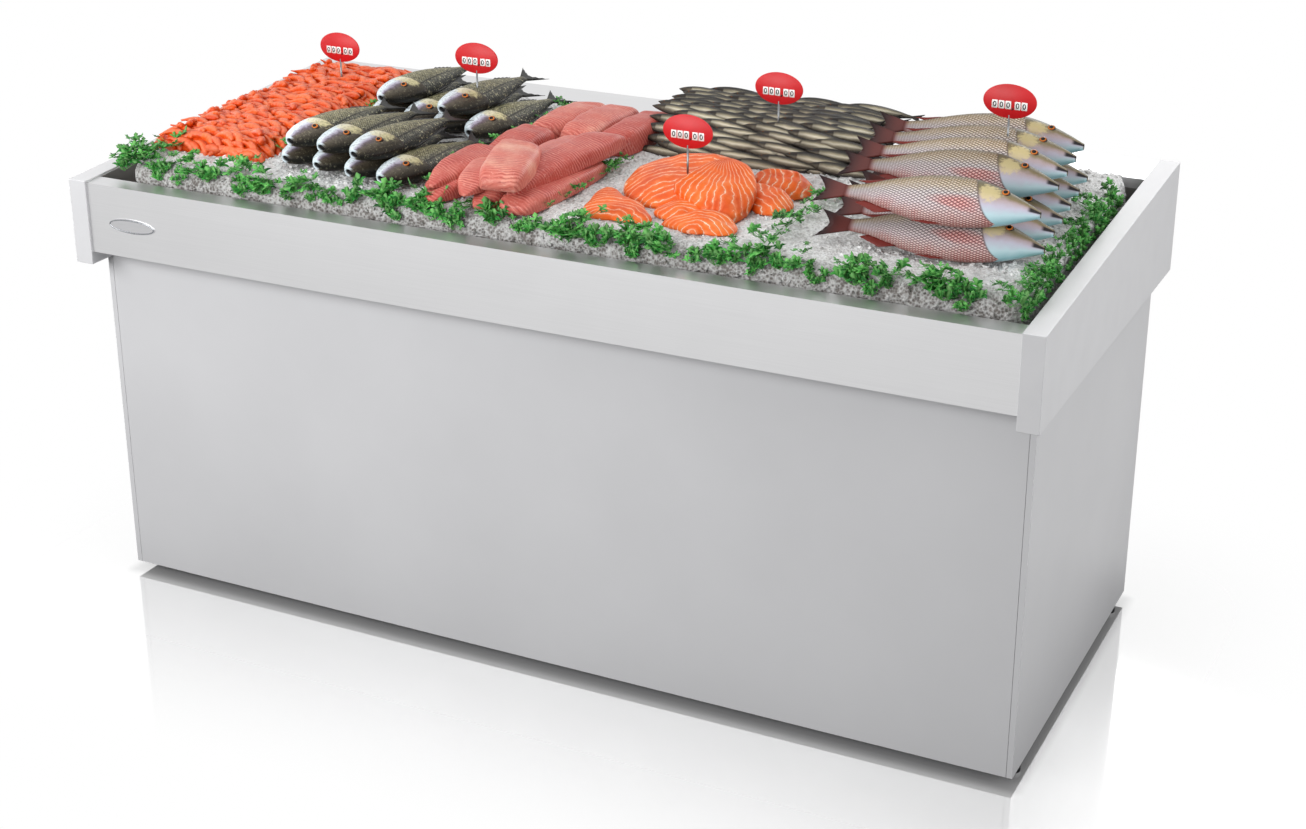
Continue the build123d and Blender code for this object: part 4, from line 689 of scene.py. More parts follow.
def fishSkin(name, look, length, girth):
    bench = newFinish(name)
    along, around, mood = bench.fields("along", "around", "mood")
    blotch = bench.noise(60.0, 4.0)
    height = 0.5 * around + 0.5 + 0.14 * (blotch - 0.5)
    gillLine = along + 0.03 * around * around - look["gillSlant"] * around - look["gill"]
    behindHead = bench.smooth(gillLine, -0.004, 0.004)
    body = bench.ramp(height, look["bodyStops"])
    head = bench.ramp(height, look["headStops"])
    if "blush" in look:
        flush = bench.smooth(bench.noise(26.0, 2.0), 0.4, 0.66) * bench.under(around, -0.7, -0.1)
        body = bench.mix(look["blush"] * flush, body, (206, 100, 92))
        # Side fin, folded flat against the flank
        behindRoot = along - 0.27
        finAlong = (behindRoot - 0.09) * 7.5
        finAround = (around + 0.3 - 0.5 * behindRoot) * (3.5 + 16.0 * behindRoot)
        rays = bench.noise(1.0, 2.0, vector=bench.stretched((30.0, 160.0, 160.0)))
        sideFin = bench.under(finAlong ** 2.0 + finAround ** 2.0 + (rays - 0.5), -0.2, 1.3)
        body = bench.mix(0.75 * sideFin, body, (218, 96, 84))
    colour = bench.mix(behindHead, head, body)
    patchColour, patchAlong, patchAround, patchLong, patchTall = look["patch"]
    patchSpot = ((along - patchAlong) * (1 / patchLong)) ** 2.0
    patchSpot = patchSpot + ((around - patchAround) * (1 / patchTall)) ** 2.0
    grime = bench.noise(150.0, 4.0, 0.65)
    patch = bench.under(patchSpot + 2.6 * (grime - 0.5), 0.3, 1.1) * (1 - behindHead)
    colour = bench.mix(0.7 * patch, colour, patchColour)
    # Scales, as a net of diagonal lines behind the gills
    steps = along * (length / look["cell"])
    rounds = around * (girth / 2 / look["cell"])
    net = (steps + rounds).wave().least((steps - rounds).wave())
    bare = bench.smooth(along, look["tailRoot"] - 0.04, look["tailRoot"])
    scaled = behindHead * (1 - bare)
    netLine = bench.under(net, 0.06, 0.4) * scaled
    # glint: a painted highlight on the middle of each scale, below the back
    glint = bench.smooth(net, 0.4, 0.85) * scaled * bench.under(around, 0.45, 0.85)
    colour = bench.mix(look["lineShare"] * netLine, colour, look["line"])
    colour = bench.mix(look["glint"] * glint, colour, (246, 244, 240))
    if "speckle" in look:
        fleck = bench.smooth(bench.noise(190.0, 4.0, 0.75), 0.5, 0.6)
        colour = bench.mix(look["speckle"] * fleck * (0.45 + 0.55 * scaled), colour, (22, 22, 20))
        shine = bench.smooth(bench.noise(170.0, 4.0, 0.75), 0.56, 0.64) * (0.2 + 0.8 * scaled)
        colour = bench.mix(0.7 * shine, colour, (226, 220, 184))
    if "lateral" in look:
        course = 0.34 - 0.42 * (along - look["gill"])
        lateral = bench.under(abs(around - course), 0.012, 0.05) * scaled
        colour = bench.mix(look["lateral"] * lateral, colour, (28, 24, 20))
    if "fade" in look:
        ends = 1 - bench.smooth(along, 0.06, 0.4) * bench.under(along, 0.5, 0.86)
        colour = bench.mix(look["fade"] * ends, colour, (40, 37, 35))
    # painted shadow along the edge of the gill cover
    gillShadow = bench.under(abs(gillLine), 0.0, 0.008) * bench.under(abs(around), 0.75, 0.95)
    gillShadowShare = 0.6 * (1 - look.get("fade", 0.0))
    colour = bench.mix(gillShadowShare * gillShadow, colour, (66, 52, 50))
    if "slit" in look:
        slitPlace, slitLong, slitTall = look["slit"]
        # painted shade in the slit of the mouth
        slit = bench.under(abs(around - slitPlace), 0.4 * slitTall, slitTall)
        slit = slit * bench.under(along, slitLong - 0.01, slitLong + 0.01)
        colour = bench.mix(0.95 * slit, colour, (14, 12, 12))
    if "lips" in look:
        lips = bench.under(along, 0.004, 0.014) * bench.under(around, -0.1, 0.5)
        colour = bench.mix(look["lips"] * lips, colour, (214, 228, 236))
    # Tail, fins, mouth and eyes
    tailInner, tailOuter = look["tail"]
    tail = bench.mix(bench.smooth(along, 0.88, 0.98), tailInner, tailOuter)
    colour = bench.mix(bare, colour, tail)
    isEye = along.above(alongMarks["eye"] - 0.5)
    colour = bench.mix(along.above(alongMarks["fin"] - 0.5), colour, look["fin"])
    # painted shade inside the mouth, behind the lips
    colour = bench.mix(bench.under(along, -0.07, -0.03), colour, (14, 12, 12))
    eye = bench.ramp(along - alongMarks["eye"], eyeLook["stops"])
    colour = bench.mix(isEye, colour, eye)
    colour = bench.mix(0.3 * mood, colour, (120, 112, 104), "MULTIPLY")
    rough = 0.36 - 0.1 * glint + 0.12 * netLine - 0.2 * isEye
    relief = 0.6 * net * scaled + 0.3 * blotch
    return closeFinish(bench, colour, rough, relief, 0.0012, specular=0.16)


def fishBody(look):
    sides = look["around"]
    share = np.linspace(0, 1, look["rings"])
    along = look["tailRoot"] * (0.75 * share + 0.25 * share**2)
    back, belly, width = (curveThrough(look[line], along) for line in ("back", "belly", "width"))
    angle = ringOf(sides)
    x = np.repeat(along[:, None], sides, 1)
    around = 1 - 2 * np.abs((angle + math.pi) % (2 * math.pi) - math.pi) / math.pi
    around = np.broadcast_to(around, x.shape)
    # The gill covers stand a little proud of the body behind them
    behind = (x + 0.03 * around**2 - look["gillSlant"] * around - look["gill"]) / 0.016 + 0.5
    proud = 1 + 0.05 * (1 - np.clip(behind, 0, 1)) * np.clip((x - 0.08) / 0.12, 0, 1)
    y = ((back + belly) / 2)[:, None] + ((back - belly) / 2)[:, None] * np.cos(angle)
    z = width[:, None] * bowed(np.sin(angle), flankPower) * proud
    rings = np.stack([x, y, z], -1)
    # The mouth is a ring folded in behind the lips
    middle = np.array((0.0, (back[0] + belly[0]) / 2, 0.0))
    lips = middle + (rings[0] - middle) * np.array((0.0, 0.86, 0.62)) + np.array((0.004, 0, 0))
    throat = middle + (rings[0] - middle) * np.array((0.0, 0.6, 0.36)) + np.array((0.03, 0, 0))
    mouth = [np.full(sides, alongMarks[mark]) for mark in ("throat", "lips")]
    rings = np.concatenate([[throat, lips], rings])
    along = np.concatenate([mouth, x])
    around = np.concatenate([around[:1], around[:1], around])
    faces = tubeFaces(len(rings), sides, capped=True)
    return rings.reshape(-1, 3), faces, along.reshape(-1), around.reshape(-1)


def finPlate(base, tip, thick, steps, ruffle):  # a closed thin plate between two lines of points
    rays = len(base)
    rows = []
    for share in np.linspace(0, 1, steps + 1):
        middle = base + (tip - base) * share
        half = thick * (1 - 0.8 * share) * np.ones(rays)
        wave = ruffle * share * np.cos(np.arange(rays) * math.pi)
        front = np.column_stack([middle, wave + half])
        rear = np.column_stack([middle, wave - half])[::-1]
        rows.append(np.concatenate([front, rear]))
    faces = tubeFaces(steps + 1, 2 * rays)
    end = steps * 2 * rays
    for ray in range(rays - 1):
        faces.append((end + ray, end + ray + 1, end + 2 * rays - 2 - ray, end + 2 * rays - 1 - ray))
        faces.append((ray + 1, ray, 2 * rays - 1 - ray, 2 * rays - 2 - ray))
    return np.concatenate(rows), faces


def eyeDome(look):  # its points in eye radii, and how far out the flank is at the eye
    place, height, _ = look["eye"]
    at = np.array([place])
    flank, back, belly = (float(curveThrough(look[line], at)[0]) for line in ("width", "back", "belly"))
    middle, half = (back + belly) / 2, (back - belly) / 2
    lean = math.acos(max(-1, min(1, (height - middle) / half)))
    sides = eyeLook["around"]
    turn = ringOf(sides)
    rows, marks = [], []
    for reach, lift in eyeLook["rows"]:
        rows.append(np.column_stack([reach * np.cos(turn), reach * np.sin(turn), np.full(sides, lift)]))
        marks.append(np.full(sides, alongMarks["eye"] + reach))
    faces = tubeFaces(len(rows), sides, capped=True)
    twist = np.array(Matrix.Rotation(math.radians(look["eyeTurn"]), 3, "Y"))
    return np.concatenate(rows) @ twist, faces, np.concatenate(marks), flank * math.sin(lean) ** flankPower


def layFish(heap, look, length, deep, thick, nose, axes, mood, bend=0.0):
    axes = np.stack(axes)

    def put(points, faces, along, around):  # points in metres along, towards the back and off the flank
        points = np.array(points, float)
        points[:, 1] += bend * length * (points[:, 0] / length - 0.4) ** 2
        placed = nose + points @ axes
        heap.add(placed, facingOut(placed, faces), along=along, around=around, mood=mood)

    scale = np.array((length, deep, thick))
    points, faces, along, around = fishBody(look)
    put(points * scale, faces, along, around)
    rays = np.linspace(-1, 1, finLook["tailRays"])
    base = np.column_stack([np.full(len(rays), look["tailRoot"] - 0.015), 0.2 * rays])
    tip = np.column_stack([1.0 - look["tailFork"] * (1 - np.abs(rays) ** 1.3), look["tailSpread"] * rays])
    points, faces = finPlate(base * scale[:2], tip * scale[:2], finLook["tailThick"], finLook["tailSteps"],
                             finLook["tailRuffle"])
    put(points, faces, points[:, 0] / length, points[:, 1] / deep)
    share = np.linspace(0, 1, finLook["rays"])[:, None]
    for start, end, startTip, endTip in np.array(look["fins"]):
        base = start + (end - start) * share
        tip = startTip + (endTip - startTip) * share
        base[:, 1] *= finLook["sunk"]
        points, faces = finPlate(base * scale[:2], tip * scale[:2], finLook["thick"], finLook["steps"],
                                 finLook["ruffle"])
        put(points, faces, alongMarks["fin"], 0.0)
    place, height, radius = look["eye"]
    dome, faces, marks, flank = eyeDome(look)
    for side in (-1, 1):
        points = dome * radius * deep
        points[:, 0] += place * length
        points[:, 1] += height * deep
        points[:, 2] = side * (points[:, 2] * 0.7 + flank * thick)
        put(points, faces, marks, 0.0)


def noseAndLength(points, ahead):
    reach = points @ ahead
    tip = points[reach < reach.min() + 0.0015].mean(0)
    return tip, reach.max() - reach.min()


def pileAxes(pile):  # from nose to tail, from belly to back, and off the upper flank
    run, lean = math.radians(pile["turn"]), math.radians(pile["lean"])
    ahead = math.cos(run) * alongAxis + math.sin(run) * slopeAxis
    across = pile["rises"] * (math.cos(run) * slopeAxis - math.sin(run) * alongAxis)
    deepAxis = math.cos(lean) * across + math.sin(lean) * iceNormal
    flank = math.cos(lean) * iceNormal - math.sin(lean) * across
    return ahead, pile["back"] * deepAxis, flank


# turn: way from nose to tail; rises: side across the fish to which its deep axis rises
# back: 1 if that end is the back, -1 if it is the belly
fishPiles = {
    "snappers": {"look": snapperLook, "turn": 185, "lean": 28, "rises": -1, "back": 1, "deep": 0.054,
                 "thick": 0.024, "slot": "snapper", "seed": 5, "bend": 0.05},
    "sea_bass": {"look": bassLook, "turn": 82, "lean": 12, "rises": 1, "back": -1, "deep": 0.044,
                 "thick": 0.02, "slot": "bass", "seed": 6, "bend": 0.05},
}
for node, pile in fishPiles.items():
    shuffle = random.Random(pile["seed"])
    heap = Heap("along", "around", "mood")
    axes = pileAxes(pile)
    for solid in solidsOf(node):
        nose, length = noseAndLength(solid, axes[0])
        mood, bend = shuffle.random(), shuffle.uniform(-1, 1) * pile["bend"]
        layFish(heap, pile["look"], length, pile["deep"], pile["thick"], nose, axes, mood, bend)
    girth = math.pi * (pile["deep"] + pile["thick"])
    finish = fishSkin(node + "Skin", pile["look"], length, girth)
    settle(heap.piece(node + "Dressed"), finish, "load", (node,))
    print(node, "laid out")


# Sardines, a heap of slim fish in rows that climb towards the back
sardineHeap = {"front": 0.468, "rear": 0.712, "left": 0.03, "length": 0.168, "deep": 0.0122, "thick": 0.0095,
               "slopeRun": 0.11, "top": 0.06, "rowStep": 0.0138, "probe": 0.004, "pitch": 0.1, "perRow": 4,
               "lean": 52, "dip": 0.05, "seed": 7}
sardineBase = {"columns": 60, "rows": 40, "inset": 0.03, "below": 0.011, "edgeCells": 8, "lump": 0.004,
               "sunk": 0.002, "thick": 0.006}


def sardineHeight(v):
    share = min(1.0, max(0.0, (v - sardineHeap["front"]) / sardineHeap["slopeRun"]))
    return sardineHeap["top"] * math.sin(share * math.pi / 2) ** 0.8


def sardineShape():
    heap = Heap("along", "around", "mood")
    layFish(heap, sardineLook, sardineHeap["length"], sardineHeap["deep"], sardineHeap["thick"], np.zeros(3),
            np.eye(3), 0.0)
    del heap.fields["mood"]
    return heap.piece("sardineShape")


def sardineCore():  # dark body of the heap under its rows, painted shade that shows in the gaps between the fish
    low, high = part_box("sardines")
    columns, rows, inset = sardineBase["columns"], sardineBase["rows"], sardineBase["inset"]
    heap = Heap("along", "around", "mood")
    grid = []
    for j in range(rows + 1):
        v = sardineHeap["front"] + (sardineHeap["rear"] - sardineHeap["front"]) * j / rows
        for i in range(columns + 1):
            u = low.x + inset + (high.x - low.x - 2 * inset) * i / columns
            edge = min(i, columns - i, sardineBase["edgeCells"]) / sardineBase["edgeCells"]
            rise = max(0.0, sardineHeight(v) - sardineBase["below"]) * edge**0.5
            rise += sardineBase["lump"] * noise.noise(Vector((u * 30, v * 90, 2.0)))
            grid.append(onIce(u, v, max(rise, 0.0) - sardineBase["sunk"]))
    heap.add(grid, gridFaces(columns, rows), along=0.5, around=0.9, mood=0.5)
    core = heap.piece("sardineCore")
    thicken(core, sardineBase["thick"])
    return core


def buildSardines():
    shuffle = random.Random(sardineHeap["seed"])
    spots, turns, sizes = [], [], []
    v, row = sardineHeap["front"], 0
    while v < sardineHeap["rear"]:
        for number in range(sardineHeap["perRow"]):
            place = number + 0.5 * (row % 2) - 0.25 + shuffle.uniform(-0.14, 0.14)
            lean = math.radians(sardineHeap["lean"] + shuffle.uniform(-14, 14))
            yaw = shuffle.uniform(-0.09, 0.05)
            dip = sardineHeap["dip"] + shuffle.uniform(-0.03, 0.03)
            ahead = Vector(alongAxis + yaw * slopeAxis - dip * iceNormal).normalized()
            across = Vector(math.cos(lean) * slopeAxis + math.sin(lean) * iceNormal)
            flank = ahead.cross(across).normalized()
            u = sardineHeap["left"] + place * sardineHeap["pitch"]
            rise = sardineHeight(v) + 0.5 * dip * sardineHeap["length"]
            spots.append(onIce(u, v + shuffle.uniform(-0.003, 0.003), rise))
            turns.append(tuple(Matrix((ahead, flank.cross(ahead), flank)).transposed().to_euler()))
            sizes.append(shuffle.uniform(0.9, 1.06))
        probe = sardineHeap["probe"]
        climb = math.hypot(probe, sardineHeight(v + probe) - sardineHeight(v)) / probe
        v += max(sardineHeap["rowStep"] / climb, probe)
        row += 1
    points = pointCloud("sardinePoints", spots, turns, sizes)
    shape = sardineShape()
    girth = math.pi * (sardineHeap["deep"] + sardineHeap["thick"])
    finish = fishSkin("sardinesSkin", sardineLook, sardineHeap["length"], girth)
    fish = grow(points, onPoints, "sardinesDressed", Shape=shape, Finish=finish, Seed=3)
    drop(points, shape)
    settle(fish, finish, "load", ("sardines",))
    settle(sardineCore(), finish, "load")
    print("sardines heaped:", len(spots))


buildSardines()


# Loins: each lies on the ice or on its neighbours, front end first
# end: its shape at the front, blunt unless said; lift: height off the ice
loinPieces = [
    {"at": (-0.192, 0.01), "long": 0.12, "wide": 0.07, "tall": 0.03, "turn": 4, "slant": 0.3,
     "end": "point"},
    {"at": (-0.104, 0.014), "long": 0.13, "wide": 0.066, "tall": 0.028, "turn": -4, "slant": -0.2,
     "end": "point"},
    {"at": (-0.024, 0.016), "long": 0.3, "wide": 0.072, "tall": 0.032, "turn": -3, "slant": 0.25},
    {"at": (-0.2, 0.022), "long": 0.222, "wide": 0.066, "tall": 0.03, "lift": 0.024, "turn": -3,
     "slant": 0.45, "end": "point"},
    {"at": (-0.118, 0.008), "long": 0.165, "wide": 0.074, "tall": 0.028, "lift": 0.024, "turn": 8, "tilt": 2,
     "slant": 0.4, "end": "point"},
    {"at": (-0.17, 0.205), "long": 0.19, "wide": 0.07, "tall": 0.048, "turn": -2, "tilt": 3, "slant": 0.1},
    {"at": (-0.088, 0.175), "long": 0.19, "wide": 0.078, "tall": 0.05, "turn": -6, "tilt": 2, "slant": -0.2},
    {"at": (-0.178, 0.415), "long": 0.2, "wide": 0.074, "tall": 0.046, "turn": -4, "slant": 0.35},
    {"at": (-0.098, 0.398), "long": 0.215, "wide": 0.078, "tall": 0.048, "turn": -3, "slant": 0.3},
    {"at": (-0.02, 0.404), "long": 0.205, "wide": 0.07, "tall": 0.046, "turn": -4, "slant": 0.35},
    {"at": (-0.04, 0.03), "long": 0.355, "wide": 0.068, "tall": 0.034, "lift": 0.028, "turn": -7, "tilt": 1,
     "slant": 0.35, "end": "point"},
    {"at": (-0.044, 0.0), "long": 0.2, "wide": 0.088, "tall": 0.038, "lift": 0.048, "turn": 16, "tilt": 2,
     "slant": -0.15},
]
loinMesh = {"rings": 34, "around": 32, "square": 0.42, "pitch": 0.0068, "lump": 0.0022, "lumpScale": 45,
            "clear": 0.002}
loinEnds = {
    "blunt": {"broad": [(0, 0.72), (0.04, 0.86), (0.12, 0.96), (0.26, 1.0), (0.78, 1.0), (0.92, 0.9),
                        (0.97, 0.74), (1.0, 0.5)],
              "high": [(0, 0.5), (0.04, 0.76), (0.12, 0.92), (0.28, 1.0), (0.74, 0.96), (0.92, 0.8),
                       (0.97, 0.55), (1.0, 0.24)]},
    "point": {"broad": [(0, 0.1), (0.06, 0.36), (0.16, 0.62), (0.32, 0.9), (0.5, 1.0), (0.9, 0.94),
                        (0.97, 0.74), (1.0, 0.5)],
              "high": [(0, 0.16), (0.06, 0.4), (0.16, 0.66), (0.34, 0.96), (0.7, 1.0), (0.92, 0.84),
                       (0.97, 0.6), (1.0, 0.3)]},
}


def loinFlesh():
    bench = newFinish("loinFlesh")
    lines, mood = bench.fields("lines", "mood")
    blotch = bench.noise(22.0, 4.0)
    wander = bench.noise(11.0, 3.0)
    fine = bench.noise(1.0, 4.0, vector=bench.stretched((160.0, 420.0, 300.0)))
    stops = [(0.2, (168, 66, 58)), (0.45, (186, 88, 78)), (0.66, (202, 114, 100)), (0.86, (224, 168, 146))]
    base = bench.ramp(0.7 * blotch + 0.4 * mood - 0.03, stops)
    band = (lines + 5.0 * (wander - 0.5)).wave()
    strength = 0.2 + 0.8 * bench.smooth(bench.noise(34.0, 3.0), 0.36, 0.64)
    line = bench.under(band, 0.05, 0.42) * strength
    colour = bench.mix(0.6 * line, base, (140, 38, 38))
    pale = bench.smooth(band, 0.62, 0.95) * strength
    colour = bench.mix(0.4 * pale, colour, (236, 172, 158))
    colour = bench.mix(bench.smooth(fine, 0.54, 0.78) * 0.45, colour, (240, 196, 182))
    relief = 0.04 * band + 0.5 * fine + 0.6 * blotch
    return closeFinish(bench, colour, 0.3 + 0.14 * fine, relief, 0.0012, specular=0.2)


def buildLoins():
    shuffle = random.Random(9)
    heap = Heap("lines", "mood")
    around, scale = loinMesh["around"], loinMesh["lumpScale"]
    share = 0.5 - 0.5 * np.cos(np.linspace(0, math.pi, loinMesh["rings"]))
    angle = ringOf(around)
    side, up = bowed(np.cos(angle), loinMesh["square"]), bowed(np.sin(angle), loinMesh["square"])
    up = np.where(up < 0, 0.1 * up, up)  # the underside is nearly flat
    for piece in loinPieces:
        (u, v), slant = piece["at"], piece["slant"]
        ends = loinEnds[piece.get("end", "blunt")]
        broad, high = curveThrough(ends["broad"], share), curveThrough(ends["high"], share)
        sway = shuffle.uniform(-0.006, 0.006) * np.sin(share * math.pi)
        ridge = shuffle.uniform(-0.18, 0.18)
        x = sway[:, None] + piece["wide"] / 2 * broad[:, None] * side
        z = piece["tall"] * high[:, None] * up * (1 + ridge * side)
        y = np.repeat((share * piece["long"])[:, None], around, 1) + slant * x
        points = np.stack([x, y, z], -1).reshape(-1, 3)
        lump = [loinMesh["lump"] * noise.noise(Vector((p[0] * scale, p[1] * scale, u * 50))) for p in points]
        points[:, 2] += np.where(points[:, 2] > 0.004, lump, 0.0)
        x, y, z = points.T
        lines = (y + 0.5 * slant * x + 0.35 * z) / loinMesh["pitch"]
        spin = Euler((math.radians(piece.get("tilt", 0)), 0, math.radians(piece["turn"])))
        points = points @ np.array(spin.to_matrix()).T
        placed = onIce(u, v, piece.get("lift", 0.0) + loinMesh["clear"]) + points @ iceAxes
        faces = tubeFaces(len(share), around, capped=True, turned=True)
        heap.add(placed, faces, lines=lines, mood=shuffle.random())
    settle(heap.piece("loinPieces"), loinFlesh(), "load", ("loins",))


buildLoins()
print("loins laid out")


# Salmon fillets: each has its upper edge in millimetres along the ice, up the slope and off the ice
# focus: where its pale lines run to as a fan, or else round which they run as rings
salmonPieces = [
    {"edge": [(85, 190, 20), (135, 145, 20), (160, 135, 20), (200, 110, 12), (225, 90, 4), (220, 75, 3),
              (190, 70, 3), (150, 70, 3), (110, 65, 3), (85, 80, 4), (80, 125, 12)],
     "bulge": 9, "thick": 30, "focus": (0.15, -0.01), "pitch": 0.0115},
    {"edge": [(210, 120, 8), (240, 160, 20), (275, 180, 25), (310, 160, 20), (285, 130, 6), (235, 110, 4)],
     "bulge": 6, "thick": 28, "focus": (0.29, 0.07), "pitch": 0.0115},
    {"edge": [(240, 80, 4), (275, 100, 18), (305, 120, 25), (335, 125, 25), (365, 120, 18), (385, 110, 4),
              (385, 85, 3), (335, 70, 3), (280, 70, 3)],
     "bulge": 8, "thick": 30, "focus": (0.325, 0.03), "pitch": 0.0105},
    {"edge": [(320, 330, 30), (340, 340, 40), (370, 350, 40), (400, 360, 35), (430, 360, 8), (430, 340, 4),
              (415, 310, 4), (390, 290, 10), (350, 300, 20)],
     "bulge": 10, "thick": 40, "focus": (0.315, 0.31), "pitch": 0.0135},
    {"edge": [(340, 280, 30), (375, 280, 30), (405, 275, 25), (430, 260, 8), (430, 240, 4), (400, 205, 3),
              (370, 210, 4), (355, 235, 16)],
     "bulge": 9, "thick": 36, "focus": (0.45, 0.33), "pitch": 0.0125},
    {"edge": [(95, 260, 20), (100, 280, 30), (130, 310, 40), (180, 325, 55), (240, 330, 60), (300, 305, 60),
              (320, 260, 55), (300, 205, 35), (250, 165, 20), (205, 150, 8), (165, 155, 6), (110, 200, 10)],
     "bulge": 10, "thick": 60, "focus": (0.25, 0.11), "pitch": 0.0165},
    {"edge": [(295, 280, 75), (260, 250, 70), (245, 210, 60), (220, 180, 45), (250, 165, 35),
              (280, 150, 25), (320, 135, 18), (360, 130, 10), (370, 170, 18), (370, 205, 30),
              (355, 255, 50), (330, 280, 65)],
     "bulge": 9, "thick": 24, "rule": "fan", "focus": (0.285, 0.29), "pitch": 0.115},
]
salmonMesh = {"spokes": 72, "rings": 12, "swell": 0.0022, "swellScale": 38, "deepest": -0.003}


def salmonFlesh():
    bench = newFinish("salmonFlesh")
    lines, mood = bench.fields("lines", "mood")
    wander = bench.noise(24.0, 4.0)
    blotch = bench.noise(18.0, 4.0)
    fibre = bench.noise(260.0, 3.0)
    stops = [(0.3, (206, 74, 16)), (0.52, (226, 98, 28)), (0.74, (236, 126, 54))]
    base = bench.ramp(blotch + 0.12 * mood - 0.06, stops)
    band = (lines + 2.6 * (wander - 0.5)).wave()
    pale = bench.under(band, 0.04, 0.2) * bench.smooth(bench.noise(48.0, 3.0), 0.3, 0.52)
    soft = bench.under(band, 0.1, 0.8)
    colour = bench.mix(0.28 * soft, base, (244, 158, 110))
    paleShare = 0.85 * pale * (0.55 + 0.45 * bench.smooth(blotch, 0.3, 0.6))
    colour = bench.mix(paleShare, colour, (252, 222, 196))
    relief = 0.8 * (1 - pale) + 0.3 * fibre + 0.3 * blotch
    return closeFinish(bench, colour, 0.3 + 0.14 * fibre, relief, 0.0012, specular=0.2)


def buildSalmon():
    shuffle = random.Random(12)
    heap = Heap("lines", "mood")
    spokes, scale = salmonMesh["spokes"], salmonMesh["swellScale"]
    turn = np.linspace(-math.pi, math.pi, spokes, endpoint=False)
    for piece in salmonPieces:
        edge = np.array(piece["edge"], float) / 1000
        bulge, thick = piece["bulge"] / 1000, piece["thick"] / 1000
        middle = edge.mean(0)
        out = edge - middle
        angles = np.arctan2(out[:, 1], out[:, 0])
        order = np.argsort(angles)

        def byAngle(values):  # with the corners eased a little
            even = np.interp(turn, angles[order], values[order], period=2 * math.pi)
            return 0.25 * np.roll(even, 1) + 0.5 * even + 0.25 * np.roll(even, -1)

        reach, level = byAngle(np.hypot(out[:, 0], out[:, 1])), byAngle(edge[:, 2])
        # From the middle of the top out to the rim, down its side and in along the underside
        rows = []
        for share in np.linspace(0.04, 0.96, salmonMesh["rings"]):
            rows.append((share, middle[2] + bulge + (level - middle[2]) * share**1.5 - bulge * share**3))
        floor = np.maximum(level - thick, salmonMesh["deepest"])
        rows += [(0.99, level - 0.0015), (1.0, 0.7 * level + 0.3 * floor),
                 (0.985, 0.2 * level + 0.8 * floor), (0.93, floor), (0.4, floor)]
        x, y = reach * np.cos(turn), reach * np.sin(turn)
        points = np.concatenate([np.column_stack([middle[0] + share * x, middle[1] + share * y, height])
                                 for share, height in rows])
        for point in points[:salmonMesh["rings"] * spokes]:
            point[2] += salmonMesh["swell"] * noise.noise(Vector((point[0] * scale, point[1] * scale, 0.3)))
        fx, fy = piece["focus"]
        if piece.get("rule") == "fan":
            lines = np.arctan2(points[:, 0] - fx, fy - points[:, 1]) / piece["pitch"]
        else:
            lines = np.hypot(points[:, 0] - fx, points[:, 1] - fy) / piece["pitch"]
        faces = tubeFaces(len(rows), spokes, capped=True, turned=True)
        heap.add(iceOrigin + points @ iceAxes, faces, lines=lines, mood=shuffle.random())
    settle(heap.piece("salmonPieces"), salmonFlesh(), "load", ("salmon_fillets",))


buildSalmon()
print("salmon laid out")


# Prawns, curled and strewn over a mound
prawnLook = {"rings": 10, "around": 7, "curl": 1.7, "radius": 0.036, "thick": 0.0092, "spacing": 0.0205,
             "small": 0.8, "large": 1.15, "tilt": 0.24, "swing": 0.6,
             "outline": [(0, 0.3), (0.1, 0.85), (0.25, 1.0), (0.6, 0.78), (0.86, 0.36), (0.92, 0.3),
                         (1.0, 0.42)],
             "flat": [(0, 0.9), (0.5, 1.0), (0.85, 0.8), (1.0, 0.3)]}
moundLook = {"columns": 64, "rows": 120, "lump": 0.005, "lumpScale": 42, "level": 0.03, "edge": 0.03,
             "sunk": 0.004, "thick": 0.02}


def prawnShell():
    bench = newFinish("prawnShell")
    along, around, mood = bench.fields("along", "around", "mood")
    joints = (along * 7.0).wave()
    mottle = bench.noise(150.0, 3.0)
    stops = [(0.2, (192, 54, 8)), (0.5, (214, 78, 16)), (0.8, (228, 100, 36))]
    base = bench.ramp(0.6 * mottle + 0.4 * mood, stops)
    colour = bench.mix(0.3 * bench.under(joints, 0.05, 0.35), base, (186, 52, 14))
    # painted highlight: paler on the upper side of each prawn
    pale = bench.smooth(around + 0.6 * (mottle - 0.5), 0.45, 1.05)
    colour = bench.mix(0.42 * pale, colour, (240, 150, 116))
    relief = 0.5 * joints + 0.4 * mottle
    return closeFinish(bench, colour, 0.26 + 0.15 * mottle, relief, 0.0006, specular=0.25)


def prawnShape():
    rings, around, radius = prawnLook["rings"], prawnLook["around"], prawnLook["radius"]
    heap = Heap("along", "around")
    share = np.linspace(0, 1, rings)
    curl = prawnLook["curl"] * (share - 0.5)
    thick = prawnLook["thick"] * curveThrough(prawnLook["outline"], share)
    flat = curveThrough(prawnLook["flat"], share)
    angle = ringOf(around)
    rows = []
    for turn, wide, tall in zip(curl, thick, thick * flat):
        out = np.array((-math.sin(turn), math.cos(turn), 0.0))
        middle = radius * out * (1.0 + 0.12 * math.cos(turn)) - np.array((0, 0.8 * radius, 0))
        rows.append(middle + wide * np.outer(np.cos(angle), out) + np.outer(tall * np.sin(angle), (0, 0, 1)))
    faces = tubeFaces(rings, around, capped=True, turned=True)
    heap.add(np.concatenate(rows), faces, along=np.repeat(share, around),
             around=np.tile(np.sin(angle), rings))
    return heap.piece("prawnShape")


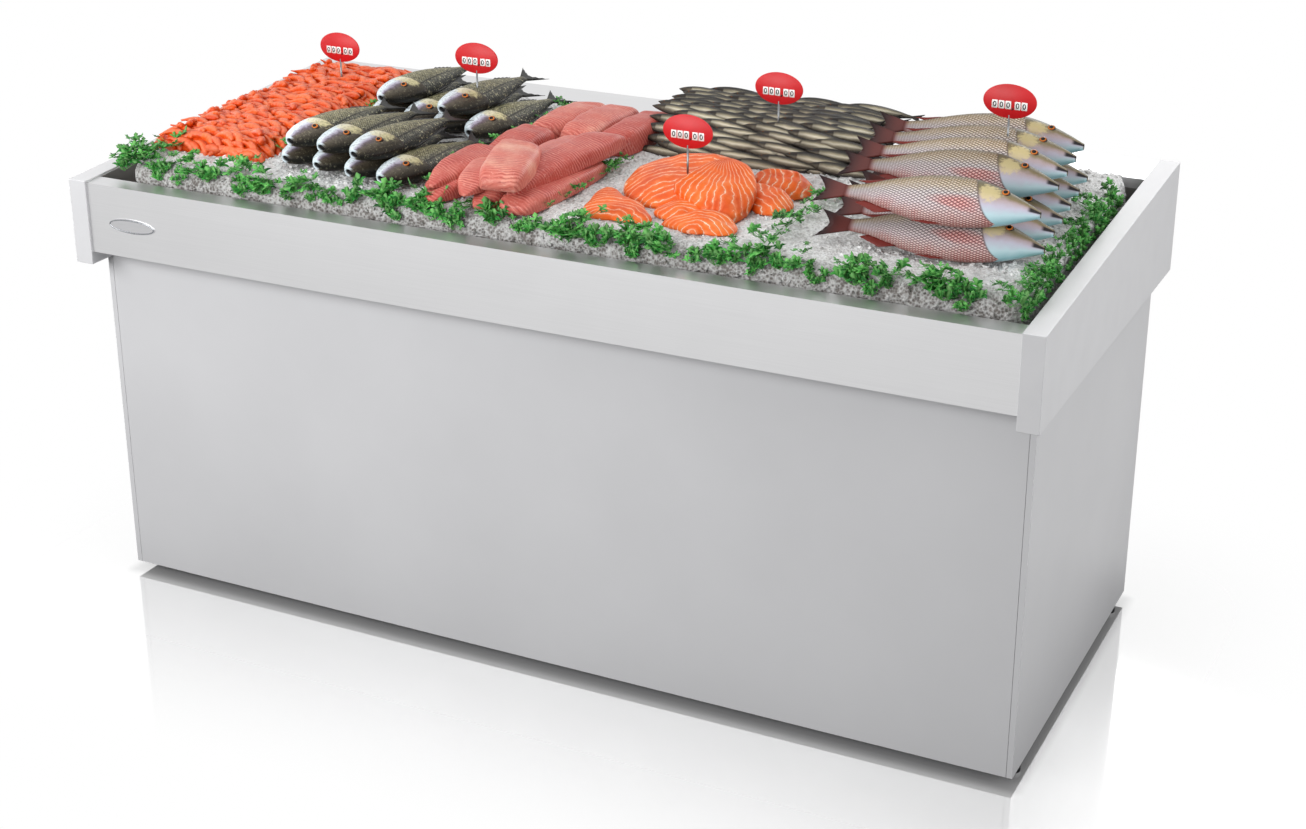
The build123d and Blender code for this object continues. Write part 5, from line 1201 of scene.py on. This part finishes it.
def prawnMound():
    low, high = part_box("prawn_bed")
    columns, rows, scale = moundLook["columns"], moundLook["rows"], moundLook["lumpScale"]
    heap = Heap("along", "around", "mood")
    grid = []
    for j in range(rows + 1):
        for i in range(columns + 1):
            x = low.x + (high.x - low.x) * i / columns
            y = low.y + (high.y - low.y) * j / rows
            edge = min(i / columns, 1 - i / columns) * (high.x - low.x)
            edge = min(edge, min(j / rows, 1 - j / rows) * (high.y - low.y))
            rise = min(1.0, edge / moundLook["edge"]) ** 0.5 * moundLook["level"]
            rise += moundLook["lump"] * noise.noise(Vector((x * scale, y * scale, 1.7)))
            grid.append(onIce(x, (y - iceSlope["front"]) / slopeAxis[1], rise - moundLook["sunk"]))
    # the mound takes the darker shell colours without the highlight, as painted shade between the prawns
    heap.add(grid, gridFaces(columns, rows), along=0.5, around=0.0, mood=0.2)
    return heap.piece("prawnMound")


def buildPrawns():
    finish = prawnShell()
    shape, mound = prawnShape(), prawnMound()
    prawns = grow(mound, strewn, "prawns", Shape=shape, Finish=finish, Seed=21, Spacing=prawnLook["spacing"],
                  Smallest=prawnLook["small"], Largest=prawnLook["large"], Tilt=prawnLook["tilt"],
                  Swing=prawnLook["swing"])
    drop(shape)
    thicken(mound, moundLook["thick"])
    settle(mound, finish, "load", ("prawn_bed",))
    settle(prawns, finish, "load")


buildPrawns()
print("prawns strewn")


# Parsley: sprigs in rows, each a bunch of lobed leaflets on thin stalks
# from, to: along and up the ice; drop: below its top; hang: how far sprigs bend over the front
# face: way in which a row that climbs the ice's side looks; stand: how far it keeps off that side
parsleyRows = [
    {"from": (-0.88, 0.002), "to": (0.915, 0.002), "pitch": 0.064, "spread": 0.006, "size": 1.1,
     "drop": 0.018, "face": (0, -1), "stand": 0.005},
    {"from": (-0.85, 0.0), "to": (0.9, 0.0), "pitch": 0.12, "spread": 0.006, "size": 0.95,
     "drop": 0.028, "face": (0, -1), "stand": 0.005},
    {"from": (0.936, 0.03), "to": (0.936, 0.6), "pitch": 0.034, "spread": 0.004, "size": 0.85,
     "drop": 0.022, "face": (1, 0), "stand": 0.006},
    {"from": (0.94, 0.01), "to": (0.94, 0.62), "pitch": 0.03, "spread": 0.003, "size": 0.8,
     "drop": 0.046, "face": (1, 0), "stand": 0.009},
    {"from": (-0.895, 0.014), "to": (0.925, 0.014), "pitch": 0.085, "spread": 0.014, "size": 1.05,
     "hang": 0.5},
    {"from": (-0.88, 0.034), "to": (0.9, 0.034), "pitch": 0.14, "spread": 0.02, "size": 0.9, "hang": 0.2},
    {"from": (-0.885, 0.03), "to": (-0.86, 0.1), "pitch": 0.03, "spread": 0.02, "size": 1.1, "hang": 0.2},
    {"from": (0.925, 0.03), "to": (0.925, 0.52), "pitch": 0.04, "spread": 0.01, "size": 0.75, "hang": 0.3},
    {"from": (-0.63, 0.16), "to": (-0.615, 0.68), "pitch": 0.05, "spread": 0.008, "size": 0.7},
    {"from": (-0.25, 0.1), "to": (-0.242, 0.68), "pitch": 0.055, "spread": 0.01, "size": 0.7},
    {"from": (0.022, 0.08), "to": (0.026, 0.42), "pitch": 0.05, "spread": 0.012, "size": 0.75},
    {"from": (0.455, 0.06), "to": (0.49, 0.36), "pitch": 0.045, "spread": 0.014, "size": 0.8},
]
parsleyLook = {"leaf": 0.0132, "leafThick": 0.0004, "leaflets": 10, "reach": 0.034, "stalk": 0.0006,
               "root": 0.004, "shoulder": 0.03, "shoulderFall": 14, "frontReach": 0.009}
# Round the leaf: degrees off its middle line, and reach in leaf sizes
leafLobes = [(0, 0.0), (-30, 0.55), (-52, 0.98), (-28, 0.9), (-10, 0.72), (-16, 1.08), (0, 1.3), (16, 1.08),
             (10, 0.72), (28, 0.9), (52, 0.98), (30, 0.55)]


def leafGreen():
    bench = newFinish("parsleyGreen")
    mood, vein = bench.fields("mood", "vein")
    patchy = bench.noise(120.0, 2.0)
    stops = [(0.05, (14, 58, 22)), (0.4, (32, 108, 40)), (0.75, (66, 156, 64)), (1.0, (114, 194, 98))]
    colour = bench.ramp(0.75 * mood + 0.35 * patchy - 0.05, stops)
    colour = bench.mix(0.4 * bench.under(vein, 0.0, 0.35), colour, (150, 204, 126))
    return closeFinish(bench, colour, 0.42 + 0.1 * patchy, specular=0.2)


def leafShape():
    heap = Heap("vein")
    points, veins = [], []
    for angle, reach in leafLobes:
        turn = math.radians(angle)
        lift = 0.32 * reach**2 - 0.25 * abs(math.sin(turn)) * reach
        points.append((reach * math.sin(turn) * 1.25, reach * math.cos(turn), lift))
        veins.append(abs(math.sin(turn)))
    count = len(points)
    points.append((0.0, 0.62, 0.03))
    faces = [(count, i, (i + 1) % count) for i in range(count)]
    heap.add(parsleyLook["leaf"] * np.array(points), faces, vein=veins + [0.0])
    flat = heap.piece("flatLeaf")
    thicken(flat, parsleyLook["leafThick"])
    leaf = link("leafShape", asMesh(flat))
    drop(flat)
    return leaf


def addStalk(heap, start, end):
    def unit(way):
        return parsleyLook["stalk"] * way / np.linalg.norm(way)

    side = unit(np.cross(end - start, (0.3, 0.5, 0.8)))
    other = unit(np.cross(end - start, side))
    ring = [side, -0.5 * side + 0.87 * other, -0.5 * side - 0.87 * other]
    points = np.array([start + r for r in ring] + [end + 0.6 * r for r in ring])
    heap.add(points, facingOut(points, tubeFaces(2, 3, capped=True)), mood=0.6, vein=0.0)


def buildParsley():
    shuffle = random.Random(31)
    spots, turns, sizes = [], [], []
    stalks = Heap("mood", "vein")
    front = iceSlope["front"]
    for row in parsleyRows:
        start, end = np.array(row["from"]), np.array(row["to"])
        run = math.dist(start, end)
        for number in range(int(run / row["pitch"]) + 1):
            share = min(1.0, (number + shuffle.uniform(-0.35, 0.35)) * row["pitch"] / run)
            u, v = start + (end - start) * share
            u += shuffle.uniform(-1, 1) * row["spread"]
            v += shuffle.uniform(-1, 1) * row["spread"]
            size = row["size"] * shuffle.uniform(0.7, 1.25)
            # The shoulder of the ice falls away towards the front
            sink = max(0.0, parsleyLook["shoulder"] - v) ** 2 * parsleyLook["shoulderFall"]
            root = onIce(u, v, parsleyLook["root"] - sink - row.get("drop", 0.0))
            for _ in range(int(parsleyLook["leaflets"] * size * shuffle.uniform(0.7, 1.2))):
                swing = shuffle.uniform(0, 2 * math.pi)
                reach = parsleyLook["reach"] * size * shuffle.uniform(0.25, 1.0)
                if "face" in row:  # climbs the side of the ice, leaves turned outwards
                    outX, outY = row["face"]
                    rise = shuffle.uniform(0.1, 1.0)
                    across, inward = 0.7 * math.cos(swing), 0.45 * rise**1.5
                    step = np.array((outY * across - inward * outX, outX * across - inward * outY, rise))
                    tip = root + reach * step + row["stand"] * np.array((outX, outY, 0.0))
                    heading, lean = math.atan2(outX, -outY) + shuffle.uniform(-0.7, 0.7), 0.85
                else:
                    fall = row.get("hang", 0.0) * shuffle.uniform(0.2, 1.7)
                    step = np.array((math.cos(swing) * 0.75, math.sin(swing) * 0.55 - 0.55 * fall,
                                     0.62 - 1.5 * fall * shuffle.random()))
                    tip = root + reach * step
                    tip[1] = max(tip[1], front - parsleyLook["frontReach"])
                    if tip[1] < front + 0.01:
                        tip[2] = min(tip[2], root[2] + 0.004)
                    heading, lean = swing - math.pi / 2, 0.1 - 0.9 * fall
                addStalk(stalks, root, tip)
                for lobe in (-1, 0, 1):
                    yaw = heading + lobe * 0.95 + shuffle.uniform(-0.3, 0.3)
                    pitch = shuffle.uniform(-0.6, 0.6) + lean
                    spots.append(tip)
                    turns.append((pitch, shuffle.uniform(-0.5, 0.5), yaw))
                    sizes.append(size * shuffle.uniform(0.7, 1.15) * (0.8 if lobe else 1.0))
    points = pointCloud("leafPoints", spots, turns, sizes)
    leaf = leafShape()
    finish = leafGreen()
    leaves = grow(points, onPoints, "parsleyLeaves", Shape=leaf, Finish=finish, Seed=4)
    drop(leaf, points)
    settle(leaves, finish, "load")
    settle(stalks.piece("parsleyStalks"), finish, "load")
    print("parsley leaves:", len(spots))


buildParsley()


# Price tags: an oval plate on a stake, with five white tiles that carry plain zeros
tagLook = {"halfWide": 0.0505, "halfTall": 0.032, "thick": 0.003, "edge": 0.0008, "plateSides": 64,
           "stake": 0.002, "stakeSides": 12, "tileWide": 0.0109, "tileTall": 0.0152, "tileCorner": 0.0014,
           "tilePitch": 0.0127, "tileDrop": 0.0069, "tileLift": 0.0006, "tileSunk": 0.0005,
           "commaGap": 0.005, "commaLift": 0.0004,
           "comma": [(0.0012, 0.0014), (-0.0012, 0.0014), (-0.0014, -0.0008), (-0.0022, -0.0036),
                     (-0.001, -0.0034), (0.0014, -0.0006)],
           "zeroWide": 0.0034, "zeroTall": 0.0052, "zeroSides": 20, "stroke": 0.0018, "strokeHalf": 0.0003}


def ovalLoop(halfWide, halfTall, y, sides):
    turn = ringOf(sides)
    return np.column_stack([halfWide * np.cos(turn), np.full(sides, y), halfTall * np.sin(turn)])


def ovalPlate():
    wide, tall, half = tagLook["halfWide"], tagLook["halfTall"], tagLook["thick"] / 2
    sides, edge = tagLook["plateSides"], tagLook["edge"]
    inset = 1 - edge / wide * 1.2
    rows = [(inset, -half), (1.0, edge - half), (1.0, half - edge), (inset, half)]
    points = [ovalLoop(share * wide, share * tall, y, sides) for share, y in rows]
    return np.concatenate(points), tubeFaces(len(rows), sides, capped=True, turned=True)


def pointedRod(low, high):
    sides, radius = tagLook["stakeSides"], tagLook["stake"]
    turn = ringOf(sides)
    x, y = radius * np.cos(turn), radius * np.sin(turn)
    rows = [(low, 0.2), (low + 3 * radius, 1.0), (high, 1.0)]
    points = [np.column_stack([share * x, share * y, np.full(sides, z)]) for z, share in rows]
    return np.concatenate(points), tubeFaces(len(rows), sides, capped=True)


def tileOutline():
    corner = tagLook["tileCorner"]
    x, z = tagLook["tileWide"] / 2 - corner, tagLook["tileTall"] / 2 - corner
    outline = []
    for signX, signZ, start in ((1, 1, 0), (-1, 1, 90), (-1, -1, 180), (1, -1, 270)):
        for step in range(4):
            turn = math.radians(start + 30 * step)
            outline.append((signX * x + corner * math.cos(turn), signZ * z + corner * math.sin(turn)))
    return outline


def slab(outline, front, rear):  # a flat closed outline in X and Z, given thickness in Y
    points = [(x, y, z) for y in (front, rear) for x, z in outline]
    return np.array(points), tubeFaces(2, len(outline), capped=True, turned=True)


def zeroRing(front, rear):
    wide, tall, stroke, sides = (tagLook[key] for key in ("zeroWide", "zeroTall", "stroke", "zeroSides"))
    rows = [(0, rear), (0, front), (stroke, front), (stroke, rear), (0, rear)]
    loops = [ovalLoop(wide - shrink, tall - shrink, y, sides) for shrink, y in rows[:-1]]
    faces = tubeFaces(len(rows), sides)
    count = sides * len(loops)
    return np.concatenate(loops), [tuple(i % count for i in face) for face in faces]


def buildTags():
    red = mouldedPlastic("tagRed", (200, 14, 24), 0.5, 600.0, 0.00002)
    white = mouldedPlastic("tileWhite", (246, 246, 244), 0.4)
    black = mouldedPlastic("figureBlack", (16, 16, 16), 0.5)
    grey = brushedSheet("stakeSteel", (120, 122, 124), 0.3, (900.0, 900.0, 6.0))
    face = -tagLook["thick"] / 2
    lift, sunk = face - tagLook["tileLift"], face + tagLook["tileSunk"]
    halfTall, pitch, down = tagLook["halfTall"], tagLook["tilePitch"], tagLook["tileDrop"]
    for name in ("prawn_tag", "bass_tag", "salmon_tag", "sardine_tag", "snapper_tag"):
        low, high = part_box(name)
        middle = np.array(((low.x + high.x) / 2, (low.y + high.y) / 2, high.z - halfTall))
        plate, stake, tiles, figures = Heap(), Heap(), Heap(), Heap()

        def put(heap, shape, x=0.0, z=0.0):
            points, faces = shape
            heap.add(points + middle + np.array((x, 0, z)), faces)

        put(plate, ovalPlate())
        put(stake, pointedRod(low.z - middle[2], -halfTall * 0.8))
        for number in range(5):
            shift = (number - 2) * pitch + (0.5 if number > 2 else -0.5) * tagLook["commaGap"]
            put(tiles, slab(tileOutline(), lift, sunk), shift, -down)
            put(figures, zeroRing(lift - tagLook["strokeHalf"], lift + tagLook["strokeHalf"]), shift, -down)
        comma = slab(tagLook["comma"], face - tagLook["commaLift"], sunk)
        put(figures, comma, 0.5 * pitch, -down - tagLook["tileTall"] * 0.4)
        word = name.split("_")[0]
        settle(plate.piece(word + "TagPlate"), red, name, (name,))
        settle(stake.piece(word + "TagStake"), grey, name)
        settle(tiles.piece(word + "TagTiles"), white, name)
        settle(figures.piece(word + "TagFigures"), black, name)


buildTags()
print("price tags placed")


# Raised rim round the blank plate on the fascia
rimLook = {"around": 72, "section": 8, "halfWide": 0.0016, "halfDeep": 0.0011, "inset": 0.0024}


def buildPlateRim():
    low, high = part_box("nameplate")
    middle = np.array(((low.x + high.x) / 2, low.y, (low.z + high.z) / 2))
    halfWide, halfTall = (high.x - low.x) / 2, (high.z - low.z) / 2
    rows = []
    for turn in ringOf(rimLook["section"]):
        swell = rimLook["halfWide"] * math.cos(turn) - rimLook["inset"]
        y = -rimLook["halfDeep"] * math.sin(turn)
        rows.append(ovalLoop(halfWide + swell, halfTall + swell, y, rimLook["around"]))
    heap = Heap()
    heap.add(np.concatenate(rows + rows[:1]) + middle, tubeFaces(len(rows) + 1, rimLook["around"]))
    finish = brushedSheet("plateRimBright", (150, 152, 156), 0.2)
    settle(heap.piece("plateRim"), finish, "counter")


buildPlateRim()


# Stage: floor, light and the photograph's view
view = {"azimuth": 26.0, "elevation": 21.4, "distance": 4.2802, "target": (0.0721, 0.0, 0.5527),
        "focalPixels": 2110.7, "photoWidth": 1306, "photoHeight": 829, "axisRow": 349.2, "sensor": 36.0}
studio = {"floor": 30.0, "sky": 0.48, "mirrored": 0.82, "contactShadowReach": 0.03, "mirroredShadeReach": 0.25,
          "fadeReach": 0.56, "mirrorShare": 0.74, "shadeShare": 0.24}
lamps = {
    "overhead": {"at": (-0.4, -0.3, 4.0), "aim": (0, 0, 0.9), "size": (4.0, 3.0), "power": 44.0},
    "front": {"at": (-0.9, -2.6, 1.75), "aim": (-0.2, -0.4, 0.75), "size": (2.6, 1.0), "power": 68.0},
    "side": {"at": (3.3, -0.3, 1.4), "aim": (0.9, 0, 0.6), "size": (1.4, 1.2), "power": 32.0},
    "rear": {"at": (0.9, 2.6, 2.1), "aim": (0.2, 0.4, 0.6), "size": (2.6, 1.0), "power": 26.0},
    "far": {"at": (-3.3, 0.3, 1.4), "aim": (-0.9, 0, 0.6), "size": (1.4, 1.2), "power": 14.0},
}


def buildCamera():
    azimuth, elevation = math.radians(view["azimuth"]), math.radians(view["elevation"])
    level = math.cos(elevation)
    away = Vector((math.sin(azimuth) * level, -math.cos(azimuth) * level, math.sin(elevation)))
    data = bpy.data.cameras.new("photoView")
    data.sensor_width = view["sensor"]
    data.lens = view["focalPixels"] / view["photoWidth"] * view["sensor"]
    data.shift_y = (view["axisRow"] - view["photoHeight"] / 2) / view["photoWidth"]
    camera = link("photoView", data)
    camera.location = Vector(view["target"]) + view["distance"] * away
    camera.rotation_euler = away.to_track_quat("Z", "Y").to_euler()
    scene.camera = camera


def buildStage():
    half = studio["floor"] / 2
    corners = [(-half, -half, 0), (half, -half, 0), (half, half, 0), (-half, half, 0)]
    mesh = bpy.data.meshes.new("floor")
    mesh.from_pydata(corners, [], [(0, 1, 2, 3)])
    floor = link("floor", mesh)
    bench = newFinish("paleFloor")
    # Seen by the camera it turns white away from the counter; what it throws back onto the panels is darker
    left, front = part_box("left_side_panel")[0].x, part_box("front_panel")[0].y
    right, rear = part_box("right_side_panel")[1].x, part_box("rear_panel")[1].y
    spot = bench.node("ShaderNodeSeparateXYZ", {0: bench.place()})
    overX = (spot - right).most(left - spot).most(0.0)
    overY = (spot.out("Y") - rear).most(front - spot.out("Y")).most(0.0)
    away = (overX * overX + overY * overY) ** 0.5
    near = bench.under(away, 0.0, studio["fadeReach"])
    patches = bench.noise(1.5, 3.0)
    lit = bench.node("ShaderNodeBsdfDiffuse", {"Color": tint(240, 240, 240)})
    sockets = {"Color": fullWhite, "Roughness": 0.04 + 0.03 * patches}
    mirror = bench.node("ShaderNodeBsdfGlossy", sockets)
    # painted contact shadow: the floor's glow turns grey at the foot of the counter
    clear = bench.smooth(away, 0.0, studio["contactShadowReach"])
    seen = bench.mix(clear, (120, 120, 122), fullWhite)
    glow = bench.node("ShaderNodeEmission", {"Color": seen, "Strength": 1.0})
    shown = bench.node("ShaderNodeMixShader", {0: studio["mirrorShare"] * near, 1: glow, 2: mirror})
    shown = bench.node("ShaderNodeMixShader", {0: studio["shadeShare"] * near, 1: shown, 2: lit})
    path = bench.node("ShaderNodeLightPath")
    dim = bench.node("ShaderNodeBsdfDiffuse", {"Color": tint(64, 64, 64)})
    # painted shade: seen in reflections, the floor glows dark next to the counter and white further off
    level = bench.mix(bench.smooth(away, 0.0, studio["mirroredShadeReach"]), (40, 40, 40), fullWhite)
    mirrored = bench.node("ShaderNodeEmission", {"Color": level, "Strength": studio["mirrored"]})
    thrown = bench.node("ShaderNodeMixShader", {0: path.out("Is Glossy Ray"), 1: dim, 2: mirrored})
    both = bench.node("ShaderNodeMixShader", {0: path, 1: thrown, 2: shown})
    bench.node("ShaderNodeOutputMaterial", {"Surface": both})
    floor.data.materials.append(bench.material)


def buildLight():
    world = bpy.data.worlds.new("studio")
    scene.world = world
    world.use_nodes = True
    bench = Bench(world.node_tree)
    path = bench.node("ShaderNodeLightPath")
    shown = (path + path.out("Is Glossy Ray") + path.out("Is Transmission Ray")).least(1.0)
    sky = bench.node("ShaderNodeBackground", {"Color": fullWhite, "Strength": studio["sky"]})
    backdrop = bench.node("ShaderNodeBackground", {"Color": fullWhite, "Strength": 1.0})
    both = bench.node("ShaderNodeMixShader", {0: shown, 1: sky, 2: backdrop})
    bench.node("ShaderNodeOutputWorld", {"Surface": both})
    for name, look in lamps.items():
        data = bpy.data.lights.new(name, "AREA")
        data.shape = "RECTANGLE"
        data.size, data.size_y = look["size"]
        data.energy = look["power"]
        lamp = link(name, data)
        lamp.location = look["at"]
        lamp.visible_camera = False
        lamp.rotation_euler = (Vector(look["at"]) - Vector(look["aim"])).to_track_quat("Z", "Y").to_euler()


buildCamera()
buildStage()
buildLight()
scene.view_settings.view_transform = "Standard"
print("stage set")
